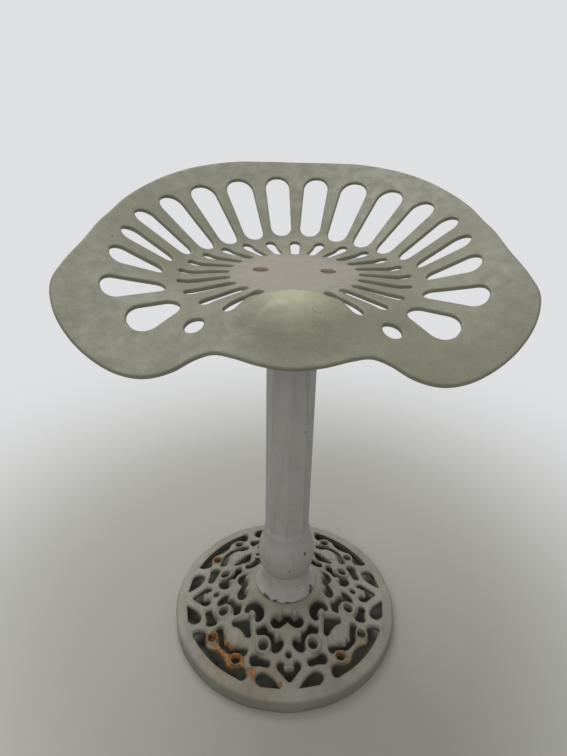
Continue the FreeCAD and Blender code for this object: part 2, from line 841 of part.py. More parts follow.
nut_flats = size("rod_nut_flats")
nut_height = size("rod_nut_height")
tie_rod_upper_nut = nut("tie_rod_upper_nut", nut_flats, nut_height, rod_radius,
                        ZERO, ZERO, nut_floor)
tie_rod_lower_nut = nut("tie_rod_lower_nut", nut_flats, nut_height, rod_radius,
                        ZERO, ZERO, lower_nut_bottom)
tie_rod_washer = washer("tie_rod_washer", size("rod_washer_radius"), rod_hole_radius,
                        size("rod_washer_thickness"), ZERO, ZERO, washer_bottom)

# Seat bolts: countersunk and slotted, with a washer and a nut under the flange

bolt_radius = size("bolt_diameter") / 2
head_radius = size("bolt_head_diameter") / 2
head_top = seat_height - size("bolt_head_sink")
head_depth = head_radius - bolt_radius
bolt_washer_bottom = flange_bottom - size("bolt_washer_thickness")
bolt_nut_bottom = bolt_washer_bottom - size("bolt_nut_height")
bolt_bottom = bolt_nut_bottom - size("bolt_tail")
bolts = []
bolt_washers = []
bolt_nuts = []
for index, (x, y) in enumerate(bolt_places):
    shank = cylinder("bolt_shank_%d" % index, bolt_radius, head_top - bolt_bottom, x, y, bolt_bottom)
    head = doc.addObject("Part::Cone", "bolt_head_%d" % index)
    head.setExpression("Radius1", bolt_radius.text)
    head.setExpression("Radius2", head_radius.text)
    head.setExpression("Height", head_depth.text)
    place(head, x, y, head_top - head_depth)
    solid = doc.addObject("Part::Fuse", "bolt_solid_%d" % index)
    solid.Base = shank
    solid.Tool = head
    groove = doc.addObject("Part::Box", "bolt_groove_%d" % index)
    groove.setExpression("Length", (head_radius * 2 + 2.0).text)
    groove.setExpression("Width", size("bolt_slot_width").text)
    groove.setExpression("Height", (size("bolt_slot_depth") + 1.0).text)
    place(groove, x - head_radius - 1.0, y - size("bolt_slot_width") / 2,
          head_top - size("bolt_slot_depth"))
    bolts.append(cut("bolt_%d" % index, solid, groove))
    bolt_washers.append(washer("bolt_washer_%d" % index, size("bolt_washer_radius"),
                               bolt_hole_radius, size("bolt_washer_thickness"),
                               x, y, bolt_washer_bottom))
    bolt_nuts.append(nut("bolt_nut_%d" % index, size("bolt_nut_flats"), size("bolt_nut_height"),
                         bolt_radius, x, y, bolt_nut_bottom))
seat_bolts = group("seat_bolts", bolts)
seat_bolt_washers = group("seat_bolt_washers", bolt_washers)
seat_bolt_nuts = group("seat_bolt_nuts", bolt_nuts)

# Checks and files

NODES = [foot_casting, column, flange, seat_pan, tie_rod, tie_rod_washer, tie_rod_lower_nut,
         tie_rod_upper_nut, seat_bolts, seat_bolt_washers, seat_bolt_nuts]

doc.recompute()
for thing in doc.Objects:
    if "Invalid" in thing.State or "Error" in thing.State:
        raise RuntimeError("%s is in state %s" % (thing.Name, thing.State))
for node in NODES:
    if node.Shape.isNull() or not node.Shape.isValid():
        raise RuntimeError(node.Label + " has no valid shape")

os.makedirs("parts", exist_ok=True)
for node in NODES:
    node.Shape.exportStep(os.path.join("parts", node.Label + ".step"))
    box = node.Shape.BoundBox
    print("%-20s solids %2d volume %9.0f z %6.1f to %6.1f" % (
        node.Label, len(node.Shape.Solids), node.Shape.Volume, box.ZMin, box.ZMax))
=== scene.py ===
"""Looks of a tractor seat stool: cast iron seat, octagonal column and pierced foot, in old grey paint.

Sizes are in millimetres, apart from the properties, the geometry trees' inputs and the stage, which
are in metres. The frame's origin is on the floor, on the column's axis, with +Z up and +Y towards
the back of the seat.
"""
import math

import bpy
import numpy as np
from bpy.props import FloatProperty, FloatVectorProperty, PointerProperty
from mathutils import Matrix, Vector
from mathutils.geometry import delaunay_2d_cdt


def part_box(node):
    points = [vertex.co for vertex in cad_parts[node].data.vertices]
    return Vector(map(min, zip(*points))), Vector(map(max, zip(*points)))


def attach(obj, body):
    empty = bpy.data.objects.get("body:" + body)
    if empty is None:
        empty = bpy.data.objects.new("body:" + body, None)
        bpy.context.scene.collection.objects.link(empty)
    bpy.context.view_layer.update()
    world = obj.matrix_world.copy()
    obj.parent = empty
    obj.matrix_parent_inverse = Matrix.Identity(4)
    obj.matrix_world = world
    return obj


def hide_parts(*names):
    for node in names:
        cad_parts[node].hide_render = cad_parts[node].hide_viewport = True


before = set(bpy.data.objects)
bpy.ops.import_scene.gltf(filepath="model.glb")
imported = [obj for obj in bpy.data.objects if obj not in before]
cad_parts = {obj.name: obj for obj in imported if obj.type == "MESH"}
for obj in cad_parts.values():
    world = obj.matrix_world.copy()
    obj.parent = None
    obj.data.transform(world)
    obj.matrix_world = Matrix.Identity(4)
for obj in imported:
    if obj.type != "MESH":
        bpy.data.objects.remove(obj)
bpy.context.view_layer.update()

BODY = "root"
MM = 0.001
EDGE = "edge"
ON_AXIS = 1e-9
JOIN_DISTANCE_M = 0.00001

bl_info = {
    "name": "Tractor Seat Stool",
    "version": (1, 0, 0),
    "blender": (4, 5, 0),
    "location": "View3D > Sidebar > Stool",
    "description": "Builds the painted castings of a tractor seat stool and a plain studio",
    "category": "Add Mesh",
}


# Colours and nodes


def linear(code):
    """The linear colour of an sRGB hex value."""
    parts = [int(code[i:i + 2], 16) / 255 for i in (1, 3, 5)]
    return tuple(c / 12.92 if c <= 0.04045 else ((c + 0.055) / 1.055) ** 2.4 for c in parts) + (1.0,)


def add(tree, kind, inputs=None, **settings):
    """Adds a node. Settings name its properties; inputs hold a value, or what to link from.

    That is a socket, or a node, which stands for its first output.
    """
    node = tree.nodes.new(kind)
    for name, value in settings.items():
        setattr(node, name, value)
    for name, value in (inputs or {}).items():
        if isinstance(value, bpy.types.Node):
            value = value.outputs[0]
        if isinstance(value, bpy.types.NodeSocket):
            tree.links.new(value, node.inputs[name])
        else:
            node.inputs[name].default_value = value
    return node


def set_ramp(node, stops):
    """Gives a colour ramp its stops, each (place, colour)."""
    ramp = node.color_ramp
    while len(ramp.elements) > 1:
        ramp.elements.remove(ramp.elements[-1])
    ramp.elements[0].position, ramp.elements[0].color = stops[0]
    for place, colour in stops[1:]:
        ramp.elements.new(place).color = colour
    return node


def opaque(colour):
    """A colour property with its alpha."""
    return tuple(colour)[:3] + (1.0,)


# Shapes shared by the pieces. Long lists of points are worked on in batches, to save memory.

INSIDE_BATCH = 2000
DISTANCE_BATCH = 400


def smooth_step(t):
    """Rises from 0 to 1 as t goes from 0 to 1, level at both ends."""
    t = np.clip(t, 0.0, 1.0)
    return t * t * (3 - 2 * t)


def closed_curve(points, step):
    """A smooth closed curve through the points, with vertices about a step apart."""
    knots = np.array(points, float)
    before, after = np.roll(knots, 1, 0), np.roll(knots, -1, 0)
    later = np.roll(knots, -2, 0)
    curve = []
    for p, a, b, q in zip(before, knots, after, later):
        count = max(2, int(math.dist(a, b) / step + 0.5))
        t0, t1, t2 = (math.dist(u, v) ** 0.5 for u, v in ((p, a), (a, b), (b, q)))
        start = (a - p) / t0 - (b - p) / (t0 + t1) + (b - a) / t1
        end = (b - a) / t1 - (q - a) / (t1 + t2) + (q - b) / t2
        for t in np.arange(count) / count:
            curve.append((2 * t ** 3 - 3 * t ** 2 + 1) * a + (t ** 3 - 2 * t ** 2 + t) * t1 * start
                         + (-2 * t ** 3 + 3 * t ** 2) * b + (t ** 3 - t ** 2) * t1 * end)
    return np.array(curve)


def circle(x, y, radius, count):
    """Points round a circle, from its +X side on."""
    turn = 2 * math.pi * np.arange(count) / count
    return np.c_[x + radius * np.cos(turn), y + radius * np.sin(turn)]


def whole(half):
    """A closed loop of points from its right half, which starts and ends on the axis."""
    return list(half) + [(-x, y) for x, y in reversed(half[1:-1])]


def right_half(loop):
    """The first half of a symmetrical closed curve, from one point on the axis to the other."""
    last = next(i for i in range(1, len(loop)) if abs(loop[i, 0]) < ON_AXIS)
    return loop[:last + 1]


def turned(points, degrees):
    """Points turned from +Y towards +X."""
    c, s = math.cos(math.radians(degrees)), math.sin(math.radians(degrees))
    points = np.asarray(points, float)
    return np.c_[points[:, 0] * c + points[:, 1] * s, points[:, 1] * c - points[:, 0] * s]


def seam_line(halves, start, end, gaps, step):
    """Points along the axis of a mirrored plan, round the openings that it crosses."""
    line, at = [(0.0, start)], start
    for half in list(halves) + [np.array([(0.0, end)])]:
        stop = half[0][1]
        near = [gap for gap in gaps if gap < (stop - at) * 0.4]
        last = (near[-1] if near else 0.0) + step * 0.6
        count = max(int((stop - at - 2 * last) / step) + 1, 1)
        middle = np.linspace(at + last, stop - last, count) if stop - at > 2 * last else []
        rows = [at + gap for gap in near] + list(middle) + [stop - gap for gap in near]
        line += [(0.0, y) for y in sorted(rows)] + [tuple(p) for p in half]
        at = half[-1][1]
    return np.array(line)


def inside(points, loop):
    """Which points lie inside a closed loop."""
    found = np.zeros(len(points), bool)
    x0, y0 = loop[:, 0], loop[:, 1]
    x1, y1 = np.roll(x0, -1), np.roll(y0, -1)
    near = np.flatnonzero((points >= loop.min(0)).all(1) & (points <= loop.max(0)).all(1))
    for first in range(0, len(near), INSIDE_BATCH):
        part = near[first:first + INSIDE_BATCH]
        x, y = points[part, :1], points[part, 1:]
        crosses = (y0 > y) != (y1 > y)
        with np.errstate(divide="ignore", invalid="ignore"):
            at = x0 + (y - y0) * (x1 - x0) / (y1 - y0)
        found[part] = (crosses & (x < at)).sum(1) % 2 == 1
    return found


def edge_distance(points, loops):
    """The distance from each point to the nearest of the closed loops."""
    starts = np.concatenate(loops)
    ends = np.concatenate([np.roll(loop, -1, 0) for loop in loops])
    span = ends - starts
    square = np.maximum((span ** 2).sum(1), 1e-12)
    best = np.full(len(points), 1e9)
    for first in range(0, len(points), DISTANCE_BATCH):
        part = points[first:first + DISTANCE_BATCH, None]
        along = ((part - starts) * span).sum(2) / square
        near = starts + np.clip(along, 0, 1)[..., None] * span
        best[first:first + DISTANCE_BATCH] = np.sqrt(((part - near) ** 2).sum(2).min(1))
    return best


def offset_rows(loop, gaps):
    """Rows of points beside a closed loop, at the given distances on both of its sides."""
    along = np.roll(loop, -1, 0) - np.roll(loop, 1, 0)
    along /= np.maximum(np.linalg.norm(along, axis=1), 1e-9)[:, None]
    side = np.c_[along[:, 1], -along[:, 0]]
    return np.concatenate([loop + side * gap * hand for gap in gaps for hand in (1, -1)])


def pierced_plan(outline, holes, edges, gaps, step, extra=()):
    """Triangles over an outline less its holes, with rows of points that follow the edges.

    Edges are the closed loops where the casting ends; the rest of the outline is a seam.
    """
    rows = np.concatenate([offset_rows(loop, [gap]) for gap in gaps for loop in edges])
    least = np.concatenate([np.full(2 * len(loop), gap * 0.93) for gap in gaps for loop in edges])
    low, high = outline.min(0), outline.max(0)
    lines = enumerate(np.arange(low[1], high[1], step * 0.87))
    xs = np.arange(low[0], high[0], step)
    grid = np.array([(x + (j % 2) * step / 2, y) for j, y in lines for x in xs])
    extra = np.array(extra, float).reshape(-1, 2)
    free = np.concatenate([rows, extra, grid])
    least = np.concatenate([least, np.full(len(extra), gaps[0]),
                            np.full(len(grid), gaps[-1] + step * 0.45)])
    keep = inside(free, outline)
    for hole in holes:
        keep &= ~inside(free, hole)
    free, least = free[keep], least[keep]
    # Points too near an edge, the seam or each other would make slivers
    seam = edge_distance(free, [outline])
    keep = (edge_distance(free, edges) > least) & (seam > np.minimum(least, step * 0.4))
    free = free[keep]
    cell = np.round(free / (gaps[0] * 1.6))
    free = free[np.sort(np.unique(cell, axis=0, return_index=True)[1])]
    sides, first = [], 0
    for loop in [outline] + holes:
        n = len(loop)
        sides += [(first + i, first + (i + 1) % n) for i in range(n)]
        first += n
    points = np.concatenate([outline] + holes + [free])
    found = delaunay_2d_cdt([Vector(p) for p in points], sides, [], 0, 1e-5)
    plan = np.array([tuple(v) for v in found[0]])
    faces = np.array([tuple(f) for f in found[2]])
    middle = plan[faces].mean(1)
    keep = inside(middle, outline)
    for hole in holes:
        keep &= ~inside(middle, hole)
    faces = faces[keep]
    a, b, c = (plan[faces[:, k]] for k in range(3))
    flip = (b - a)[:, 0] * (c - a)[:, 1] < (b - a)[:, 1] * (c - a)[:, 0]
    faces[flip] = faces[flip][:, ::-1]
    used, faces = np.unique(faces, return_inverse=True)
    return plan[used], faces.reshape(-1, 3)


def open_sides(faces):
    """The sides that only one triangle has, in that triangle's direction."""
    sides = np.concatenate([faces[:, [0, 1]], faces[:, [1, 2]], faces[:, [2, 0]]])
    pairs = {tuple(side) for side in sides.tolist()}
    return [side for side in pairs if side[::-1] not in pairs]


def plain_mesh(name, vertices, faces, smooth=True):
    """An object whose vertices are given in millimetres."""
    remove(name)
    mesh = bpy.data.meshes.new(name)
    mesh.from_pydata((np.asarray(vertices, float) * MM).tolist(), [], [list(f) for f in faces])
    mesh.validate()
    mesh.polygons.foreach_set("use_smooth", [smooth] * len(mesh.polygons))
    thing = bpy.data.objects.new(name, mesh)
    bpy.context.scene.collection.objects.link(thing)
    return thing


def remove(name):
    """Removes an object that an earlier run of the same operator made."""
    thing = bpy.data.objects.get(name)
    if thing is not None:
        bpy.data.objects.remove(thing, do_unlink=True)


def new_tree(name, sizes):
    """A geometry tree that takes a mesh, named sizes (each name, default) and a material."""
    old = bpy.data.node_groups.get(name)
    if old is not None:
        bpy.data.node_groups.remove(old)
    tree = bpy.data.node_groups.new(name, "GeometryNodeTree")
    face = tree.interface
    face.new_socket(name="Geometry", in_out="OUTPUT", socket_type="NodeSocketGeometry")
    face.new_socket(name="Geometry", in_out="INPUT", socket_type="NodeSocketGeometry")
    for label, default in sizes.items():
        kind = "NodeSocketInt" if isinstance(default, int) else "NodeSocketFloat"
        socket = face.new_socket(name=label, in_out="INPUT", socket_type=kind)
        socket.default_value = default
    face.new_socket(name="Material", in_out="INPUT", socket_type="NodeSocketMaterial")
    return tree


def run_tree(thing, tree, values):
    """Runs a geometry tree on an object and keeps the result as its plain mesh."""
    modifier = thing.modifiers.new("shape", "NODES")
    modifier.node_group = tree
    for item in tree.interface.items_tree:
        if item.item_type == "SOCKET" and item.in_out == "INPUT" and item.name in values:
            modifier[item.identifier] = values[item.name]
    graph = bpy.context.evaluated_depsgraph_get()
    mesh = bpy.data.meshes.new_from_object(thing.evaluated_get(graph), depsgraph=graph)
    thing.modifiers.remove(modifier)
    plan, thing.data = thing.data, mesh
    bpy.data.meshes.remove(plan)
    mesh.name = thing.name
    for attribute in [a.name for a in mesh.attributes if a.name == EDGE]:
        mesh.attributes.remove(mesh.attributes[attribute])


# Foot: a bell pierced with scrolls. Each outline is drawn once, outward along +Y, for the field
# between the column's land and the rim.

FIELD = (42.0, 137.0)
BUTTERFLY = [(0, 53.4), (4.2, 53.6), (6.3, 56.6), (10, 58), (13.6, 56.4), (16.6, 54), (20, 56.4),
             (20, 60.6), (16, 64.2), (10, 64.4), (4.6, 61.6), (0, 58.8)]
HEART = [(0, 115.5), (3, 115.8), (6, 114.5), (7.5, 111.5), (7.6, 108), (9, 105), (10.5, 104.3),
         (13, 106), (14, 109.5), (12.5, 113), (9.5, 116.5), (6.5, 120), (3.5, 124), (0, 126.8)]
HOOK = [(38.5, 63.5), (36, 62.8), (33, 62), (30, 61.5), (28, 63), (26.5, 66.5), (24, 69), (21, 71),
        (19.3, 72.5), (19, 75.5), (18.5, 79), (16.5, 80.6), (14, 81), (11.5, 80), (9.5, 78.8),
        (7.2, 80), (7, 83.5), (8.5, 87), (11.5, 90), (15.5, 91.8), (19, 91.3), (20.2, 89),
        (19.8, 85), (20, 81), (21.5, 77.5), (24.5, 73.5), (28, 71), (32, 69.8), (36, 69.5),
        (38.5, 68.8)]
SLANT = [(46, 95.5), (43.5, 94), (41, 94.5), (37, 97.2), (32, 99.7), (27, 101.3), (24.7, 103),
         (25, 106.5), (27, 108), (31, 107.3), (36, 105.7), (41, 105.6), (44.5, 105.5), (47, 103),
         (47.3, 99)]
TEARDROP = [(40.5, 121), (38, 117.5), (34, 116.2), (30, 117.3), (26, 119.8), (22, 123),
            (18.5, 127.2), (15.5, 131.5), (13.3, 135), (14, 136.2), (18, 135.8), (24, 134.8),
            (30, 133.5), (35, 131.3), (39, 127.5), (40.8, 124)]
CRESCENT = [(0, 51), (5, 51.3), (9.5, 53.5), (13, 58), (13.5, 62), (11.5, 65.5), (8.5, 65.8),
            (7, 63), (6, 60.8), (3, 59.6), (0, 59.4)]
WINDOW = [(0, 72), (3, 73.5), (7, 77), (11, 80.5), (15, 84), (14.3, 86), (11, 86.5), (7, 85),
          (3, 84.8), (0, 84.8)]
SLIT = [(0, 109.8), (3, 111.5), (6, 111.5), (9, 109), (13, 105.5), (17, 102.5), (21, 99.5),
        (24.5, 99.2), (26, 104), (22, 105.5), (18, 107.5), (14, 110.5), (10, 113.8), (6, 115.2),
        (0, 115.5)]
ARCH = [(0, 123.8), (4, 124), (8, 125), (12, 127), (16, 128.8), (20, 128.8), (25, 126.5),
        (30, 122.5), (33.5, 118.5), (36.5, 116.8), (40, 118), (44.5, 121.5), (46, 127),
        (40, 130.5), (30, 133.2), (20, 135), (10, 136.1), (0, 136.5)]
VOLUTE_EYE = (31.6, 84.4, 4.8)
BAR_EYE = (22.3, 115.8, 4.6)
ROUND_HOLE = (0.0, 96.0, 2.7)

# Raised work: balls are (across, out, radius, height), on a main axis or on a diagonal. The one
# without height only gives the mesh its points.
MAIN_BALLS = [(10, 52.6, 5, 2.6), (14.5, 75.5, 5.2, 3), (3.4, 106.3, 3.4, 1.8), (0, 112.2, 3.4, 2)]
DIAGONAL_BALLS = [(0, 64.2, 6, 3.2), (0, 77, 3, 0)]
SHELL_CENTRE = (0.0, 97.6)
SHELL_SPAN = (14.5, 12.0)
BAND = [(8, 68), (16, 77), (19.5, 86), (24, 94), (30, 102), (37, 109), (44, 114.5), (51, 121),
        (54, 129), (55, 137)]
BAND_SIZE = (3.6, 1.3)
VOLUTE_RING = (12.4, 2.9)
BAR_RING = (9.6, 2.5)
RING_GROOVE = 2.3
SHELL_HEIGHT = 3.0
RIB_HEIGHT = 0.55
RIBS_PER_TURN = 13
SHELL_HINGE = 84

# The bell: its height at the rim, its rise to the land and how steeply that goes
BELL_LOW, BELL_RISE, BELL_POWER = 23.5, 34.5, 1.9
RIM_WIDTH = 9.5

# The webs: how much the drawn openings are widened, how far in the webs are rounded, how far they
# fall at an opening, how high they are crowned, and where they run out into the land and the rim
WIDENING = 0.8
ROUNDING = 5.0
EDGE_FALL = 2.6
CROWN = 4.6
UNDER_ROUNDING = (1.5, 1.2)
WEBS_START = 43
WEBS_FADE = (5, 6)
OUTLINE_STEP = 1.7

# The land, the spigot, the rod's hole and the boss below, from the field's inner edge in, each row
# (radius, height)
HUB_ROWS = [(41, 58), (38, 58), (26, 58), (14.7, 58), (14.7, 62.4), (14.1, 63), (8.4, 63), (8.4, 54),
            (8.4, 44), (25, 44), (26, 45), (26, 50.5), (28, 52), (36, 52)]


def bell(reach):
    """Height of the foot's plain bell, out to its rim."""
    share = np.clip((reach - FIELD[0]) / (FIELD[1] - FIELD[0]), 0, 1)
    lip = np.clip((reach - FIELD[1]) / RIM_WIDTH, 0, 1)
    return BELL_LOW + BELL_RISE * (1 - share) ** BELL_POWER - lip


def cap(points, x, y, radius, height):
    """A round ball that stands out of the surface."""
    gap = np.hypot(points[:, 0] - x, points[:, 1] - y) / radius
    return height * np.clip(1 - gap ** 2, 0, 1) ** 0.75


def band(points, line, width, height):
    """A rounded ridge along a line."""
    starts, ends = np.array(line[:-1], float), np.array(line[1:], float)
    span = ends - starts
    along = ((points[:, None] - starts) * span).sum(2) / (span ** 2).sum(1)
    near = starts + np.clip(along, 0, 1)[..., None] * span
    gap = np.sqrt(((points[:, None] - near) ** 2).sum(2).min(1))
    return height * np.clip(1 - (gap / width) ** 2, 0, 1)


def collar(points, eye, outer, height):
    """A raised ring round an eye, which drops steeply at its outer edge."""
    reach = np.hypot(points[:, 0] - eye[0], points[:, 1] - eye[1])
    share = np.clip((reach - eye[2]) / (outer - eye[2]), 0, 1)
    groove = RING_GROOVE * np.exp(-((reach - outer - 0.6) / 1.2) ** 2)
    return height * np.sin(math.pi * share) - groove


def raised_work(points):
    """Height of the balls, rings, bands and shell over the bell, for one eighth of the foot."""
    diagonal = turned(points, -45)
    diagonal[:, 0] = np.abs(diagonal[:, 0])
    rings = [collar(points, VOLUTE_EYE, *VOLUTE_RING), collar(diagonal, BAR_EYE, *BAR_RING)]
    total = np.maximum(*rings) + np.minimum(np.minimum(*rings), 0)
    for ball in MAIN_BALLS:
        total = np.maximum(total, cap(points, *ball))
    for ball in DIAGONAL_BALLS:
        total = np.maximum(total, cap(diagonal, *ball))
    total = np.maximum(total, band(diagonal, BAND, *BAND_SIZE))
    across = (diagonal[:, 0] - SHELL_CENTRE[0]) / SHELL_SPAN[0]
    out = (diagonal[:, 1] - SHELL_CENTRE[1]) / SHELL_SPAN[1]
    egg = np.clip(1 - across ** 2 - out ** 2, 0, 1)
    fan = np.arctan2(diagonal[:, 0], diagonal[:, 1] - SHELL_HINGE)
    ribs = RIB_HEIGHT * np.cos(fan * RIBS_PER_TURN) * egg ** 0.4 * (egg > 0)
    return np.maximum(total, SHELL_HEIGHT * egg ** 0.6 + ribs)


def foot_top(points, edge):
    """Height of the upper face, with webs that are rounded towards the openings."""
    reach = np.hypot(points[:, 0], points[:, 1])
    share = np.clip(edge / ROUNDING, 0, 1)
    crown = CROWN * np.sqrt(1 - (1 - share) ** 2) - EDGE_FALL
    field = smooth_step((reach - WEBS_START) / WEBS_FADE[0])
    field *= 1 - smooth_step((reach - FIELD[1]) / WEBS_FADE[1])
    work = raised_work(points) * smooth_step(edge / 1.6)
    return bell(reach) + (crown + work) * field


def foot_under(points, edge, wall):
    """Height of the lower face, a wall below the bell, rounded a little at the openings."""
    inward, upward = UNDER_ROUNDING
    share = np.clip(edge / inward, 0, 1)
    reach = np.hypot(points[:, 0], points[:, 1])
    return bell(reach) - wall + upward * (1 - np.sqrt(1 - (1 - share) ** 2))


def widened(loop, by):
    """A closed loop moved outward along its own normals; points on its axis stay there."""
    along = np.roll(loop, -1, 0) - np.roll(loop, 1, 0)
    along /= np.linalg.norm(along, axis=1)[:, None]
    area = (loop[:, 0] * np.roll(loop[:, 1], -1) - loop[:, 1] * np.roll(loop[:, 0], -1)).sum()
    moved = loop + np.c_[along[:, 1], -along[:, 0]] * by * math.copysign(1, area)
    moved[np.abs(loop[:, 0]) < ON_AXIS, 0] = 0.0
    return moved


def foot_openings():
    """The loops of one eighth: those on its two axes, and the ones between."""
    main, diagonal = ([closed_curve(whole(shape), OUTLINE_STEP) for shape in shapes]
                      for shapes in ((BUTTERFLY, HEART), (CRESCENT, WINDOW, SLIT, ARCH)))
    main.insert(1, turned(circle(0, 0, ROUND_HOLE[2], 16), 90) + ROUND_HOLE[:2])
    between = [closed_curve(shape, OUTLINE_STEP) for shape in (HOOK, SLANT, TEARDROP)]
    main, diagonal, between = ([widened(loop, WIDENING) for loop in loops]
                               for loops in (main, diagonal, between))
    eye = turned(circle(-BAR_EYE[0], *BAR_EYE[1:], 20), 45)
    return main, diagonal, between + [circle(*VOLUTE_EYE, 20), eye]


def foot_eighth(sizes):
    """Points and faces of one eighth of the foot, from a main axis to a diagonal."""
    gaps, step = (0.35, 0.9, 1.7, 2.8, 4.2), 2.2
    main, diagonal, between = foot_openings()
    near = seam_line([right_half(loop) for loop in main], *FIELD, gaps, step)
    far = seam_line([right_half(loop) for loop in diagonal], *FIELD, gaps, step)
    far = turned(far * (-1, 1), 45)
    turns = np.linspace(0, 45, 46)[1:-1]
    rim = np.concatenate([turned([(0, FIELD[1])], t) for t in turns])
    land = np.concatenate([turned([(0, FIELD[0])], t) for t in turns])
    outline = np.concatenate([near, rim, far[::-1], land[::-1]])
    edges = main + [turned(loop, 45) for loop in diagonal] + between
    extra = [p for balls, turn in ((MAIN_BALLS, 0), (DIAGONAL_BALLS, 45))
             for x, y, radius, _ in balls for share in (0.4, 0.75, 1.0)
             for p in turned(circle(x, y, radius * share, int(8 + 10 * share)), turn)]
    extra += [p for share in (0.55, 0.85, 1.0) for p in turned(
        circle(0, 0, 1, 44) * np.array(SHELL_SPAN) * share + SHELL_CENTRE, 45)]
    plan, faces = pierced_plan(outline, between, edges, gaps, step, extra)
    edge = edge_distance(plan, edges)
    edge[edge < 1e-3] = 0
    count = len(plan)
    top, under = foot_top(plan, edge), foot_under(plan, edge, sizes["wall"])
    vertices = [np.c_[plan, top], np.c_[plan, under]]
    solid = [tuple(f) for f in faces] + [tuple(f[::-1] + count) for f in faces]
    reach = np.hypot(plan[:, 0], plan[:, 1])
    turn = np.degrees(np.arctan2(plan[:, 0], plan[:, 1]))
    on_seam = (np.abs(plan[:, 0]) < 1e-4) | (np.abs(turn - 45) < 1e-4)
    on_land, on_rim = (np.abs(reach - r) < 1e-3 for r in FIELD)
    for a, b in open_sides(faces):
        if not any(flag[a] and flag[b] for flag in (on_seam, on_land, on_rim)):
            solid.append((b, a, a + count, b + count))
    total = 2 * count
    for flag, rows in ((on_rim, rim_rows(sizes)), (on_land, HUB_ROWS)):
        ring = np.flatnonzero(flag)
        ring = ring[np.argsort(turn[ring])]
        way = plan[ring] / reach[ring][:, None]
        rings = [ring]
        for radius, height in rows:
            spots = way * radius
            if height is None:
                level = foot_top(spots, edge_distance(spots, edges))
            else:
                level = np.full(len(spots), height)
            vertices.append(np.c_[spots, level])
            rings.append(np.arange(total, total + len(spots)))
            total += len(spots)
        rings.append(ring + count)
        for inner, outer in zip(rings, rings[1:]):
            if flag is on_land:
                inner, outer = outer, inner
            for k in range(len(ring) - 1):
                solid.append((inner[k], inner[k + 1], outer[k + 1], outer[k]))
    return np.concatenate(vertices), solid


def rim_rows(sizes):
    """The rim's section, from the pierced field out, down to the floor and back in under it."""
    radius, high, fillet = sizes["radius"], sizes["rim_height"], sizes["rim_round"]
    rows = [(139, None), (141, None), (143, None), (radius - fillet - 1.6, high + 0.25)]
    for turn in np.radians(np.arange(90, -1, -15)):
        rows.append((radius - fillet + fillet * math.cos(turn), high - fillet + fillet * math.sin(turn)))
    rows += [(radius, high - fillet - 5), (radius, 6), (radius, 1), (radius - 1, 0)]
    inner = radius - 8
    return rows + [(inner + 0.8, 0), (inner, 0.8), (inner, 9), (inner, high - 6.8), (inner - 2, 16.9)]


def with_flipped(tree, first, second):
    """Joins two geometries, the second with its faces turned over."""
    flipped = add(tree, "GeometryNodeFlipFaces", {"Mesh": second})
    both = add(tree, "GeometryNodeJoinGeometry", {0: first})
    tree.links.new(flipped.outputs[0], both.inputs[0])
    return both


def with_mirror_image(tree, half):
    """Joins a geometry and its mirror image on the other side of x = 0."""
    image = add(tree, "GeometryNodeTransform", {"Geometry": half, "Scale": (-1, 1, 1)})
    return with_flipped(tree, half, image)


def turned_repeats():
    """A tree that mirrors a mesh across its own axis and sets copies of the pair round the origin."""
    tree = new_tree("Mirrored and turned", {"Copies": 4, "Turn": 0.0, "Join Distance": JOIN_DISTANCE_M})
    given = add(tree, "NodeGroupInput").outputs
    pair = with_mirror_image(tree, given["Geometry"])
    points = add(tree, "GeometryNodePoints", {"Count": given["Copies"]})
    index = add(tree, "GeometryNodeInputIndex")
    pitch = add(tree, "ShaderNodeMath", {0: -2 * math.pi, 1: given["Copies"]}, operation="DIVIDE")
    angle = add(tree, "ShaderNodeMath", {0: index, 1: pitch, 2: given["Turn"]}, operation="MULTIPLY_ADD")
    spin = add(tree, "ShaderNodeCombineXYZ", {"Z": angle})
    copies = add(tree, "GeometryNodeInstanceOnPoints", {
        "Points": points, "Instance": pair, "Rotation": spin})
    real = add(tree, "GeometryNodeRealizeInstances", {"Geometry": copies})
    joined = add(tree, "GeometryNodeMergeByDistance", {
        "Geometry": real, "Distance": given["Join Distance"]})
    painted = add(tree, "GeometryNodeSetMaterial", {"Geometry": joined, "Material": given["Material"]})
    add(tree, "NodeGroupOutput", {0: painted})
    return tree


# Seat: the drawn plan of a pan that a geometry tree gives its dish and its wall

SEAT_HALF_PLAN = [(0, 216.5), (38, 214.5), (80, 205.5), (122, 184), (152, 156), (176, 118),
                  (190, 76), (196, 24), (202, -26), (211, -63), (214.5, -86), (206.5, -109),
                  (190, -129), (167, -146.5), (139.5, -160.5), (116, -165.5), (96, -161.5),
                  (80.5, -151.5), (66, -146.5), (49, -150), (28, -155.5), (0, -158.5)]

# Inner slots of one side: how many, their two ends at the back, how far these move in and out
# towards the front, and the half widths there
INNER_COUNT = 11
INNER_ENDS = (66, 115)
INNER_SHIFTS = (6, 3)
INNER_HALF_WIDTHS = (4.3, 5.6)

# Outer slots of one side, from the back to the front: inner end, outer end, and half widths there
OUTER_SLOTS = [(124.5, 196, 12.2, 14.6), (121.3, 196, 12, 16.2), (119.8, 195.5, 11.6, 15.6),
               (119.8, 192.5, 10.8, 14.4), (123.5, 187.5, 9, 12.8), (127.3, 179, 8, 12.5),
               (130.5, 180, 7.8, 12.3), (131.5, 189.5, 8.2, 13), (131.4, 179.5, 11.2, 16.2)]
BOLT_HOLE = (35.0, 9.0, 7.65)
THIGH_HOLE = (141.5, 143.0, 8.5)
SLOT_PITCH = 15.0
SLOT_STEP = 2.6
OUTER_CORNER_SHARE = 0.93
HOLE_POINTS = 26


